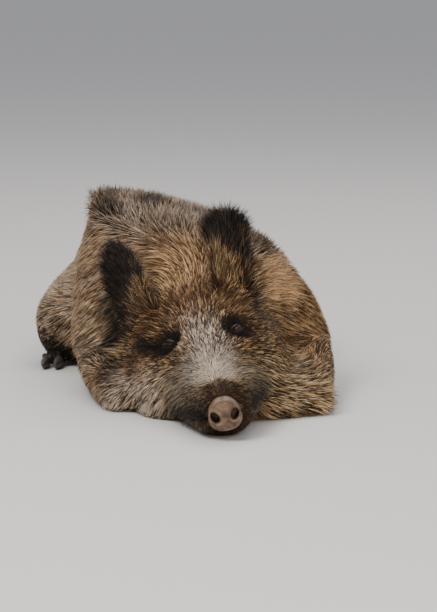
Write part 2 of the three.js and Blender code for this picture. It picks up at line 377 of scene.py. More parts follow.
def set_places(thing: bpy.types.Object, points: np.ndarray) -> None:
    """Moves the corners of a mesh to these places."""
    thing.data.vertices.foreach_set("co", points.astype(np.float32).ravel())
    thing.data.update()


def outward(thing: bpy.types.Object) -> np.ndarray:
    """The way out of the surface at each corner of a mesh."""
    return corner_values(thing, "normal")


def subdivide_where(thing: bpy.types.Object, chosen: np.ndarray) -> None:
    """Splits the faces that lie wholly on chosen corners.

    Args:
        thing: The object to refine.
        chosen: True for each corner of the region.
    """
    only(thing)
    mesh = thing.data
    mesh.vertices.foreach_set("select", chosen)
    picked = [all(chosen[v] for v in face.vertices) for face in mesh.polygons]
    bpy.ops.object.mode_set(mode="EDIT")
    bpy.ops.mesh.select_mode(type="FACE")
    bpy.ops.mesh.select_all(action="DESELECT")
    bpy.ops.object.mode_set(mode="OBJECT")
    mesh.polygons.foreach_set("select", picked)
    bpy.ops.object.mode_set(mode="EDIT")
    bpy.ops.mesh.subdivide(number_cuts=1, smoothness=0.0)
    bpy.ops.object.mode_set(mode="OBJECT")


def remesh(thing: bpy.types.Object, voxel: float) -> None:
    """Makes one closed even surface of all that the object holds."""
    apply(thing, "REMESH", mode="VOXEL", voxel_size=voxel, adaptivity=0.0)


def relax(thing: bpy.types.Object, rounds: int) -> None:
    """Smooths a surface."""
    apply(thing, "SMOOTH", factor=0.5, iterations=rounds)


def shade_smooth(thing: bpy.types.Object) -> None:
    """Shades every face of the object smooth."""
    thing.data.polygons.foreach_set("use_smooth", [True] * len(thing.data.polygons))
    thing.data.update()


def dress(thing: bpy.types.Object, finish: bpy.types.Material) -> None:
    """Shades an object smooth and gives it its finish."""
    shade_smooth(thing)
    thing.data.materials.append(finish)
    log.info("%s: %d faces", thing.name, len(thing.data.polygons))


def store(thing: bpy.types.Object, name: str, kind: str, values: np.ndarray) -> None:
    """Keeps a value for each corner on the mesh, for its material to read.

    Args:
        thing: The object.
        name: The attribute's name.
        kind: FLOAT or FLOAT_COLOR.
        values: One value or colour for each corner.
    """
    made = thing.data.attributes.new(name, kind, "POINT")
    made.data.foreach_set("color" if kind == "FLOAT_COLOR" else "value", values.astype(np.float32).ravel())


# ---- markings: what colour the coat has where ----


@dataclass
class Pelt:
    """What the coat is like at many places.

    Attributes:
        silver: Share of pale grey hair, partly painted light on the snout's bridge, the hind body and the
            right side.
        dark: Share of black-brown hair, and of painted shade under the ears' lobes, along the lip and near
            the floor.
        warm: Share of warm brown hair.
        straw: Share of pale yellow hair, partly painted light on the right side.
        light: How much lighter than elsewhere the hair is, partly painted light and shade.
        calm: How much more alike its tufts are.
        bare: Share of bare skin.
        length: Length of the hair.
        width: Width of a tuft at its root.
        lift: Angle from the skin at the root, in degrees.
        hug: How closely the hair follows the skin, from 0 to 1.
        density: Tufts to the square metre.
        way: Direction in which the hair lies.
        ear: Share of ear.
        lock: How wide the locks are in which hair gathers.
    """

    silver: np.ndarray
    dark: np.ndarray
    warm: np.ndarray
    straw: np.ndarray
    light: np.ndarray
    calm: np.ndarray
    bare: np.ndarray
    length: np.ndarray
    width: np.ndarray
    lift: np.ndarray
    hug: np.ndarray
    density: np.ndarray
    way: np.ndarray
    ear: np.ndarray
    lock: np.ndarray


@dataclass(frozen=True)
class EarLeaf:
    """How one ear stands.

    Attributes:
        name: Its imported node.
        middle: Its middle.
        rise: The way from root to tip.
        across: The way across it.
        half: Half of its width.
        high: How far above the middle its tip is.
        tree: Its packed surface, for distances.
        far: Distance at which the search for the surface ends.
        edge: Distances over which the ear's share falls to nothing.
    """

    name: str
    middle: np.ndarray
    rise: np.ndarray
    across: np.ndarray
    half: float
    high: float
    tree: BVHTree
    far: float = 0.02
    edge: tuple[float, float] = (0.0030, 0.0110)

    def nearness(self, points: np.ndarray) -> np.ndarray:
        """1 on the ear, 0 away from it.

        Args:
            points: Places on the skin.

        Returns:
            The share of ear at each place.
        """
        distance = np.full(len(points), self.far)
        around = np.linalg.norm(points - self.middle, axis=1) < 1.15 * self.high
        for i in np.flatnonzero(around):
            found = self.tree.find_nearest(points[i], self.far)[3]
            distance[i] = self.far if found is None else found
        return fall(*self.edge, distance)


@dataclass
class Zones:
    """Where on the animal each place of the skin is, as shares from 0 to 1.

    Attributes:
        points: The places.
        normals: The way out of the skin there.
        aside: How far they are from the head's middle line, left positive.
        along: How far behind the eyes.
        up: How far above the eyes.
        wide: How far from the middle line, on either side.
        slant: Height above the eyes, along the slope of the forehead.
        off_middle: How far from the snout's own middle line, on either side.
        eye_near: Distance to the nearer eye.
        foot_near: Distance to the nearest foot.
        head: Share of head.
        muzzle: Share of muzzle.
        cheek: Share of cheek and beard.
        ears: Share of each ear, left first.
        crest: Share of crest.
        leg: Share of leg.
        foot: Share of lower leg.
        tail: Share of tail.
        under: Share of underside.
    """

    points: np.ndarray
    normals: np.ndarray
    aside: np.ndarray
    along: np.ndarray
    up: np.ndarray
    wide: np.ndarray
    slant: np.ndarray
    off_middle: np.ndarray
    eye_near: np.ndarray
    foot_near: np.ndarray
    head: np.ndarray
    muzzle: np.ndarray
    cheek: np.ndarray
    ears: list[np.ndarray]
    crest: np.ndarray
    leg: np.ndarray
    foot: np.ndarray
    tail: np.ndarray
    under: np.ndarray

    @property
    def height(self) -> np.ndarray:
        """Height above the floor."""
        return self.points[:, 2]

    @property
    def ear(self) -> np.ndarray:
        """Share of either ear."""
        return np.maximum(*self.ears)


@dataclass
class Eye:
    """One eye: where its ball sits, the way it looks and how its lids stand open.

    Attributes:
        middle: Centre of the ball.
        looks: The way it looks.
        slit: The way along its slit.
        across: The way across its slit.
        half_long: Half of the slit's length.
        half_open: Half of its height in the middle.
        rise: How far the slit's ends lie over the ball's middle.
    """

    middle: np.ndarray
    looks: np.ndarray
    slit: np.ndarray
    across: np.ndarray
    half_long: float
    half_open: float
    rise: float

    def on_ball(self, points: np.ndarray) -> tuple[np.ndarray, np.ndarray, np.ndarray]:
        """How far places are from the ball's middle, along the slit, across it and outwards."""
        away = points - self.middle
        return away @ self.slit, away @ self.across, away @ self.looks

    def slit_line(self, beside: np.ndarray) -> tuple[np.ndarray, np.ndarray]:
        """The slit's middle line and half of its height, at places along it."""
        bow = np.sqrt(np.maximum(0.0, 1.0 - (beside / self.half_long) ** 2))
        return self.rise - 0.0020 * bow, self.half_open * bow

    def brown_lids(self, points: np.ndarray) -> np.ndarray:
        """Share of the brown folds over and under the slit.

        Args:
            points: Places on the skin.

        Returns:
            The share at each place.
        """
        beside, above, _ = self.on_ball(points)
        line, half = self.slit_line(beside)
        over, under = above - line - half, line - half - above
        share = span(over, (0.0004, 0.0014), (0.0050, 0.0075))
        share = share + 0.5 * smooth(0.0006, 0.0016, under) * fall(0.0035, 0.0055, under)
        near = np.linalg.norm(points - self.middle, axis=1) < 0.0155
        return share * near * fall(0.0085, 0.0120, np.abs(beside))


@dataclass
class CoatMap:
    """Reads the lie, length and colour of the coat at any place on the skin.

    Attributes:
        marks: The animal's landmarks.
        eyes: The two eyes, left first.
        ears: How the two ears stand.
        feet: Centres of the four feet.
        muzzle_fades: From where to where, behind the eyes, muzzle turns to head.
        head_fades: From where to where head turns to neck.
        crest_rises: From where to where the crest begins.
        crest_falls: From where to where it ends.
        foot_fades: How far from a foot's middle lower leg turns to thigh.
        low_fades: From where to where above the floor the low body ends.
        bare_lids: From where to where round an eye the bare lids end.
        bare_ring: How wide the bare ring round the pad is, and half of its soft edge.
        pad_bend: From where to where ahead of the eyes the snout's middle line bends aside.
        slope: How much the forehead drops forwards.
        face_along: Places behind the eyes at which the hair's length on the face is given.
        face_length: The hair's length there.
        ear_up: Heights above the eyes at which the dark of the ear's lobe is given.
        ear_inner: How far from the middle line it begins there.
    """

    marks: Landmarks
    eyes: list[Eye]
    ears: list[EarLeaf]
    feet: list[np.ndarray]
    muzzle_fades: tuple[float, float] = (-0.105, -0.045)
    head_fades: tuple[float, float] = (0.085, 0.165)
    crest_rises: tuple[float, float] = (0.17, 0.27)
    crest_falls: tuple[float, float] = (0.62, 0.87)
    foot_fades: tuple[float, float] = (0.07, 0.13)
    low_fades: tuple[float, float] = (0.06, 0.16)
    bare_lids: tuple[float, float] = (0.0125, 0.0155)
    bare_ring: tuple[float, float] = (0.007, 0.002)
    pad_bend: tuple[float, float] = (0.12, 0.24)
    slope: float = 0.19
    face_along: tuple[float, ...] = (-0.24, -0.19, -0.12, -0.06, 0.0, 0.06)
    face_length: tuple[float, ...] = (0.009, 0.011, 0.015, 0.018, 0.022, 0.029)
    ear_up: tuple[float, ...] = (0.000, 0.030, 0.070, 0.095, 0.120, 0.150, 0.220)
    ear_inner: tuple[float, ...] = (0.122, 0.118, 0.112, 0.098, 0.074, 0.056, 0.050)

    def zones(self, points: np.ndarray, normals: np.ndarray, part: np.ndarray) -> Zones:
        """Tells where on the animal each place is.

        Args:
            points: Places on the skin.
            normals: The way out of the skin there.
            part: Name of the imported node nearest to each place.

        Returns:
            The zones.
        """
        aside, along, up = self.marks.on_head(points)
        wide, height = np.abs(aside), points[:, 2]
        off_middle = np.abs(aside - self.marks.snout_aside * smooth(*self.pad_bend, -along))
        throat = smooth(0.10, 0.16, -up) * smooth(0.02, 0.06, along)
        head = fall(*self.head_fades, along) * (1.0 - (part == "trunk")) * (1.0 - throat)
        cheek = head * smooth(0.015, 0.070, -up - 0.22 * wide) * smooth(-0.185, -0.10, along)
        ears = [leaf.nearness(points) for leaf in self.ears]
        crest = smooth(0.45, 0.88, normals[:, 2]) * smooth(0.50, 0.80, height / self.marks.crest_height)
        crest = crest * smooth(*self.crest_rises, along) * fall(*self.crest_falls, along)
        foot_near = nearest(points, self.feet)
        leg = np.isin(part, LEGS).astype(float)
        return Zones(
            points=points,
            normals=normals,
            aside=aside,
            along=along,
            up=up,
            wide=wide,
            slant=up + self.slope * along,
            off_middle=off_middle,
            eye_near=nearest(points, [eye.middle for eye in self.eyes]),
            foot_near=foot_near,
            head=head,
            muzzle=head * fall(*self.muzzle_fades, along),
            cheek=cheek * smooth(0.030, 0.058, wide),
            ears=ears,
            crest=crest * (1.0 - np.maximum(*ears)),
            leg=leg,
            foot=leg * fall(*self.foot_fades, foot_near),
            tail=(part == "tail").astype(float),
            under=smooth(0.05, 0.35, -normals[:, 2]) * fall(0.02, 0.05, height),
        )

    def read(self, points: np.ndarray, normals: np.ndarray, part: np.ndarray) -> Pelt:
        """Works out the coat.

        Args:
            points: Places on the skin.
            normals: The way out of the skin there.
            part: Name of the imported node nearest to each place.

        Returns:
            The coat at each place.
        """
        zone = self.zones(points, normals, part)
        ring, edge = self.bare_ring
        nose_ring = zone.head * fall(-edge, edge, zone.along - self.marks.snout_along - ring)
        bare = np.maximum(nose_ring, fall(*self.bare_lids, zone.eye_near))
        length, width, lift = self.sizes(zone)
        density = self.density(zone) * (1.0 - bare)
        colours = (*self.markings(zone), *self.shading(zone), bare)
        hug = 0.7 * (1.0 - zone.ear) * (1.0 - 0.8 * zone.cheek) * (1.0 - 0.5 * zone.crest)
        lock = layered(0.0065, (0.0040, zone.head), (0.0085, zone.cheek))
        return Pelt(*colours, length, width, lift, hug, density, self.lie(zone), zone.ear, lock)

    def sizes(self, zone: Zones) -> tuple[np.ndarray, np.ndarray, np.ndarray]:
        """Works out the size and the stand of the tufts.

        Args:
            zone: The places.

        Returns:
            Length and width of a tuft at each place, and how steeply it leaves the skin in degrees.
        """
        fringe = zone.head * bell(zone.wide, 0.085, 0.030) * bell(zone.up, 0.075, 0.030) * (1.0 - zone.ear)
        by_eye = zone.head * fall(0.016, 0.046, zone.eye_near)
        by_pad = zone.head * fall(-0.215, -0.185, zone.along)
        length = layered(
            0.046,
            (np.interp(zone.along, self.face_along, self.face_length), zone.head),
            (0.044, zone.cheek),
            (0.052, zone.crest),
            (0.038, fringe),
            (0.0055, by_eye),
            (0.016, zone.foot),
            (0.028, zone.ear),
            (mix(0.032, 0.016, smooth(0.03, 0.10, zone.height)), zone.tail),
        )
        length = length * (1.0 + 0.14 * noise(zone.points, 0.05, 1))
        width = layered(0.0008 + 0.022 * length, (0.0015, zone.crest), (0.0014, zone.ear))
        width = width + 0.0014 * smooth(0.55, 0.9, zone.along)
        lift = layered(
            11.0,
            (22.0, zone.head),
            (26.0, zone.cheek),
            (52.0, zone.crest),
            (24.0, zone.muzzle * (1.0 - zone.cheek)),
            (36.0, by_pad),
            (34.0, fringe),
            (16.0, zone.foot),
            (30.0, zone.ear),
        )
        return length, width, lift

    def density(self, zone: Zones) -> np.ndarray:
        """Works out how closely the tufts stand.

        Args:
            zone: The places.

        Returns:
            Tufts on each square metre.
        """
        density = layered(
            118000.0,
            (300000.0, zone.head),
            (430000.0, zone.muzzle),
            (150000.0, zone.cheek),
            (330000.0, zone.ear),
            (230000.0, zone.crest),
        )
        density = density * (1.0 - 0.55 * smooth(0.55, 0.85, zone.along))
        return mix(density, 260000.0, zone.tail) * (1.0 - 0.75 * zone.under)

    def lie(self, zone: Zones) -> np.ndarray:
        """Works out the way in which the hair lies.

        Args:
            zone: The places.

        Returns:
            The way at each place.
        """
        sideways, back, down = np.eye(3)[0], np.eye(3)[1], -np.eye(3)[2]
        side = np.tanh(zone.aside / 0.02)[:, None] * self.marks.to_left
        low = smooth(0.0, 0.06, -zone.up - 0.01 + 0.10 * np.maximum(-zone.along, 0.0))
        top_way = side * (0.9 * smooth(0.0, 0.09, zone.wide))[:, None] + back + 0.15 * self.marks.head_up
        cheek_way = side * 0.62 + 0.60 * back - 0.75 * self.marks.head_up
        face_way = unit(mix(top_way, cheek_way, low))
        eye_way = np.zeros_like(zone.points)
        for eye in self.eyes:
            away = zone.points - eye.middle
            near = fall(0.014, 0.050, np.linalg.norm(away, axis=1))
            eye_way += unit(away - 0.02 * back) * near[:, None]
        flank = smooth(0.2, 0.9, np.abs(zone.normals[:, 0]))
        outer = np.sign(zone.points[:, 0] - self.marks.between_eyes[0])[:, None] * sideways
        body_way = back + down * (0.75 * flank)[:, None]
        front = smooth(0.25, 0.85, -zone.normals[:, 1])
        body_way = mix(body_way, 0.75 * outer + 0.7 * down + 0.5 * back, front)
        way = mix(body_way, face_way + 1.1 * eye_way, zone.head)
        way = mix(way, np.array((0.1, 0.12, -1.0)) * np.ones_like(zone.points), zone.tail)
        for leaf, share in zip(self.ears, zone.ears):
            offset = ((zone.points - leaf.middle) @ leaf.across) / leaf.half
            high = smooth(0.0, 0.9, ((zone.points - leaf.middle) @ leaf.rise) / leaf.high)
            fan = leaf.rise + ((0.7 + 1.0 * high) * offset)[:, None] * leaf.across
            way = mix(way, fan, share)
        fore = smooth(0.45, 0.40, zone.along) * 2.0 - 1.0
        return unit(mix(way, back * fore[:, None], zone.foot * fall(0.03, 0.075, zone.height)))

    def nose_top(self, zone: Zones, ragged: np.ndarray | float = 0.0) -> np.ndarray:
        """Share of the brown wrinkled skin behind the top of the pad.

        Args:
            zone: The places.
            ragged: Noise that makes the edge ragged.

        Returns:
            The share.
        """
        share = fall(0.048, 0.064, zone.along - self.marks.snout_along + ragged)
        return zone.head * share * (1.0 - 0.75 * smooth(0.028, 0.044, zone.off_middle))

    def bridge(self, zone: Zones, ragged: np.ndarray | float = 0.0) -> np.ndarray:
        """Share of the pale hair on the bridge of the snout, partly a painted highlight where the top of the
        snout catches the light.

        Args:
            zone: The places.
            ragged: Noise that makes the edge ragged.

        Returns:
            The share.
        """
        share = bell(zone.along, -0.136, 0.023) * fall(0.012, 0.047, zone.off_middle + ragged)
        return zone.head * share * smooth(-0.10, -0.06, zone.up)

    def right_face(self, zone: Zones) -> np.ndarray:
        """Share of the greyer, lighter hair on the right side of the face below the eye, partly painted cool
        skylight.
        """
        return zone.head * smooth(0.070, 0.105, -zone.aside) * fall(-0.045, -0.012, zone.slant)

    def shading(self, zone: Zones) -> tuple[np.ndarray, np.ndarray]:
        """Works out how the tone of the tufts differs from the rest, painted light and shade among it.

        Args:
            zone: The places.

        Returns:
            How much lighter the tufts are than elsewhere, partly painted light and shade, and how much more
            alike.
        """
        crown = span(zone.along, (0.060, 0.110), (0.26, 0.36)) * (1.0 - 0.6 * zone.crest)
        crown = crown * smooth(0.07, 0.11, zone.slant) * fall(0.07, 0.12, zone.wide)
        low = (1.0 - zone.head) * fall(*self.low_fades, zone.height)
        nape = span(zone.aside, (0.116, 0.136), (0.165, 0.200)) * fall(0.24, 0.36, zone.along)
        nape = nape * smooth(0.035, 0.060, zone.slant) * fall(0.120, 0.145, zone.slant)
        between = fall(0.020, 0.050, zone.wide) * fall(-0.030, 0.030, zone.along)
        right_face = self.right_face(zone)
        brow = zone.head * (1.0 - crown) * (1.0 - zone.muzzle) * (1.0 - zone.cheek)
        # the right side is lighter: partly the coat's own, partly painted cool skylight on that side
        right_side = smooth(0.02, 0.08, -zone.aside) * (1.0 - zone.head * (1.0 - zone.cheek))
        right_side = right_side * (1.0 - zone.crest)
        shares = (
            # pale bridge: partly its own pale hair, partly a painted highlight on the snout's top
            (0.56, self.bridge(zone)),
            (-0.48, self.nose_top(zone)),
            (0.12, crown),
            (-0.25, zone.ear),
            (-0.30, fall(0.020, 0.040, zone.eye_near)),
            (0.50, nape),
            # painted light: the hind body is lighter, as if the haunch were better lit
            (0.20, smooth(0.45, 0.60, zone.along) * (1.0 - zone.foot)),
            (-0.24, brow * (1.0 - between) * (1.0 - right_face)),
            (-0.20, zone.crest),
            # painted shade: the low body is darker towards the floor
            (-0.13, low),
            (0.07, right_side),
            # right face: partly its own grey hair, partly painted cool skylight
            (0.10, right_face),
        )
        light = sum(weight * share for weight, share in shares)
        calm = 0.60 * zone.crest - 0.90 * zone.cheek - 0.90 * low - 0.40 * zone.head * (1.0 - zone.cheek)
        return light, calm

    def markings(self, zone: Zones) -> tuple[np.ndarray, np.ndarray, np.ndarray, np.ndarray]:
        """Works out which hair grows where, with the right side partly painted greyer and paler as if in cool
        skylight.

        Args:
            zone: The places.

        Returns:
            Shares of silver, dark, warm and straw hair.
        """
        patch, fine = noise(zone.points, 0.05, 1), noise(zone.points, 0.018, 2)
        body = 1.0 - zone.head
        beard = zone.head * smooth(0.0, 0.05, -zone.up - 0.2 * zone.wide)
        # the right side is greyer, paler and less warm: partly the coat's own, partly painted cool skylight
        right_side = smooth(0.02, 0.08, -zone.aside)
        nose_top = self.nose_top(zone, 0.004 * fine)
        silver = self.silver(zone, beard * (0.10 + 0.15 * patch + 0.24 * right_side), fine)
        silver = silver + zone.crest * (0.42 + 0.20 * smooth(-0.2, 0.5, fine + patch))
        silver = silver + 0.24 * body * (1.0 - zone.crest) * right_side
        silver = silver + 0.20 * self.right_face(zone)
        warm = zone.head * smooth(0.0, 0.06, zone.along) * 0.85 * (1.0 - zone.cheek)
        warm = warm * (1.0 - 0.8 * smooth(0.06, 0.11, zone.along))
        low = 0.45 * body * fall(*self.low_fades, zone.height)
        warm = np.maximum(warm + low * (1.0 - 0.6 * right_side), 0.85 * nose_top)
        warm = np.maximum(warm, sum(eye.brown_lids(zone.points) for eye in self.eyes))
        straw = np.maximum(0.85 * beard, 0.7 * zone.muzzle) + 0.50 * body * smooth(-0.4, 0.6, patch)
        # more pale straw on the right side: partly painted cool skylight
        straw = np.clip(straw + 0.25 * body * (zone.aside < 0), 0.0, 1.0) * (1.0 - 0.8 * zone.crest)
        return silver * (1.0 - 0.9 * nose_top), self.dark(zone, nose_top, fine), warm, straw

    def silver(self, zone: Zones, beard: np.ndarray, fine: np.ndarray) -> np.ndarray:
        """Share of silver hair on the face, and of paler grey on the hind body that is painted light on the
        haunch.

        Args:
            zone: The places.
            beard: Share of silver in the beard.
            fine: Noise that makes the edges ragged.

        Returns:
            The share.
        """
        between = 0.74 * fall(0.012, 0.060, zone.off_middle + 0.014 * fine) * smooth(-0.16, -0.10, zone.along)
        between = between * fall(-0.02, 0.060, zone.along)
        bridge = 1.3 * self.bridge(zone, 0.008 * fine)
        side = 0.26 * zone.muzzle * smooth(0.02, 0.06, zone.off_middle) * smooth(-0.13, -0.09, zone.up)
        face = zone.head * np.clip(between + bridge + side + beard, 0.0, 1.0)
        # the paler grey of the hind body is painted light on the haunch
        return np.minimum(face, 0.86 - 0.14 * bridge) + 0.18 * smooth(0.45, 0.60, zone.along)

    def dark(self, zone: Zones, nose_top: np.ndarray, fine: np.ndarray) -> np.ndarray:
        """Share of black-brown hair, and of painted shade under the ears' lobes, along the lip and near the
        floor.

        Args:
            zone: The places.
            nose_top: Share of the brown skin behind the pad.
            fine: Noise that makes the edges ragged.

        Returns:
            The share.
        """
        right = zone.aside < 0
        dark = 0.97 * fall(0.019, 0.037, zone.eye_near + 0.008 * fine)
        band = bell(zone.up, -0.005 + 0.15 * (zone.wide - 0.085), 0.011) * smooth(0.042, 0.056, zone.wide)
        band = band * fall(0.106, 0.126, zone.wide + 0.006 * fine) * np.where(right, 0.97, 0.35)
        band = band * smooth(-0.06, -0.02, zone.along) * (zone.along < 0.07)
        # dark lip: partly the lip's own black-brown hair, partly painted shade along the mouth
        lip = bell(zone.up, -0.102, 0.024) * smooth(0.028, 0.040, zone.off_middle)
        lip = lip * fall(-0.095, -0.052, zone.along)
        dark = zone.head * np.max([dark, band, 0.40 * nose_top, 0.95 * lip], axis=0)
        inner = np.interp(zone.up, self.ear_up, self.ear_inner)
        lobe = smooth(-0.005, 0.006, zone.wide + 0.004 * fine - inner) * smooth(-0.005, 0.014, zone.up)
        # dark hair behind the ears, partly painted shadow under their lobes
        dark = np.maximum(dark, 0.95 * self.behind_ear(zone, right, fine))
        dark = mix(dark, np.maximum(0.45, 0.97 * lobe), zone.ear)
        drawn_out = zone.points * np.array((1.0, 0.4, 1.0))
        streaks = noise(drawn_out, 0.034, 5) + 0.35 * noise(zone.points, 0.012, 6)
        others = (
            0.9 * zone.leg * fall(0.035, 0.070, zone.foot_near),
            zone.crest * (0.25 + 0.55 * smooth(-0.15, 0.55, streaks)),
            0.55 * zone.tail,
            # painted shade: the body's hair darkens where it meets the floor
            0.5 * fall(0.004, 0.030, zone.height) * (1.0 - zone.head),
        )
        return np.max([dark, *others], axis=0)

    def behind_ear(self, zone: Zones, right: np.ndarray, fine: np.ndarray) -> np.ndarray:
        """Share of the dark hair behind and below the ears, partly painted shadow cast by their lobes, which
        reaches further down on the right.

        Args:
            zone: The places.
            right: True on the animal's right.
            fine: Noise that makes the edges ragged.

        Returns:
            The share.
        """
        # painted shadow: on the right the dark reaches lower, under the ear's lobe
        lower = 0.034 * right * fall(0.01, 0.04, zone.slant)
        outer, nearer = np.where(right, 0.166, 0.112) + lower, np.where(right, 0.118, 0.092) + lower
        share = mix(0.62, 1.0, smooth(0.02, 0.04, zone.slant)) * smooth(-0.07, -0.03, zone.slant)
        share = share * fall(0.13, 0.15, zone.slant) * (right | (zone.along < 0.13))
        share = share * smooth(-0.004, 0.006, zone.wide - nearer) * (right | (zone.slant > 0.02))
        share = share * fall(-0.010, 0.008, zone.wide - outer + 0.008 * fine)
        return share * fall(0.17, 0.25, zone.along + 0.02 * fine) * smooth(-0.02, 0.01, zone.along)


# ---- finishes ----


class Nodes:
    """A material's node tree, written one node at a time."""

    def __init__(self, name: str) -> None:
        """Starts a material with a plain shader.

        Args:
            name: The material's name.
        """
        self.material = bpy.data.materials.new(name)
        self.material.use_nodes = True
        self.tree = self.material.node_tree
        self.shader = self.tree.nodes["Principled BSDF"]

    def add(
        self, kind: str, inputs: dict[str | int, object] | None = None, **settings: object
    ) -> bpy.types.Node:
        """Adds a node.

        Args:
            kind: The node's type.
            inputs: Values or sockets for its inputs, by name or number.
            settings: Its own settings.

        Returns:
            The new node.
        """
        node = self.tree.nodes.new(kind)
        for key, value in settings.items():
            setattr(node, key, value)
        for key, value in (inputs or {}).items():
            if isinstance(value, Socket):
                self.tree.links.new(value, node.inputs[key])
            else:
                node.inputs[key].default_value = value
        return node

    def where(self) -> Socket:
        """Places in the object's own coordinates."""
        return self.add("ShaderNodeTexCoord").outputs["Object"]

    def attribute(self, name: str, output: str = "Fac") -> Socket:
        """A value that the mesh carries."""
        return self.add("ShaderNodeAttribute", attribute_name=name).outputs[output]

    def cloud(self, where: Socket, scale: float, detail: float, roughness: float = 0.5) -> Socket:
        """Cloudy noise.

        Args:
            where: Places to read it at.
            scale: How fine it is.
            detail: How many finer layers it has.
            roughness: How much they count.

        Returns:
            The noise's socket.
        """
        inputs = {"Vector": where, "Scale": scale, "Detail": detail, "Roughness": roughness}
        return self.add("ShaderNodeTexNoise", inputs).outputs["Fac"]

    def ramp(self, value: Socket, stops: Sequence[tuple[float, Colour]]) -> Socket:
        """Colours from a number.

        Args:
            value: The number's socket.
            stops: Places from 0 to 1, each with its colour.

        Returns:
            The colour's socket.
        """
        node = self.add("ShaderNodeValToRGB", {"Fac": value})
        elements = node.color_ramp.elements
        while len(elements) < len(stops):
            elements.new(0.5)
        for element, (place, colour) in zip(elements, stops):
            element.position = place
            element.color = (*colour, 1.0)
        return node.outputs["Color"]

    def mix_colour(self, share: Socket, first: object, second: object) -> Socket:
        """Mixes two colours.

        Args:
            share: How much of the second counts.
            first: A colour or its socket.
            second: A colour or its socket.

        Returns:
            The mixed colour's socket.
        """
        node = self.add("ShaderNodeMix", {0: share, 6: first, 7: second}, data_type="RGBA")
        return node.outputs[2]

    def sum_of(self, operation: str, *values: object) -> Socket:
        """A sum in a Math node.

        Args:
            operation: The node's operation.
            values: Numbers or sockets.

        Returns:
            The result's socket.
        """
        node = self.add("ShaderNodeMath", dict(enumerate(values)), operation=operation)
        return node.outputs[0]

    def bump(self, height: Socket, strength: float, distance: float) -> None:
        """Gives the shader a bump.

        Args:
            height: The height's socket.
            strength: How much of it counts.
            distance: How high it is.
        """
        node = self.add("ShaderNodeBump", {"Height": height, "Strength": strength, "Distance": distance})
        self.tree.links.new(node.outputs["Normal"], self.shader.inputs["Normal"])

    def colour(self, socket: Socket) -> None:
        """Gives the shader its base colour."""
        self.tree.links.new(socket, self.shader.inputs["Base Color"])

    def finish(self, roughness: float, gloss: float = 0.5) -> bpy.types.Material:
        """Sets the shader's last values.

        Args:
            roughness: How rough the finish is.
            gloss: How much it reflects.

        Returns:
            The material.
        """
        self.shader.inputs["Roughness"].default_value = roughness
        self.shader.inputs["Specular IOR Level"].default_value = gloss
        return self.material


Stops = tuple[tuple[float, Colour], ...]


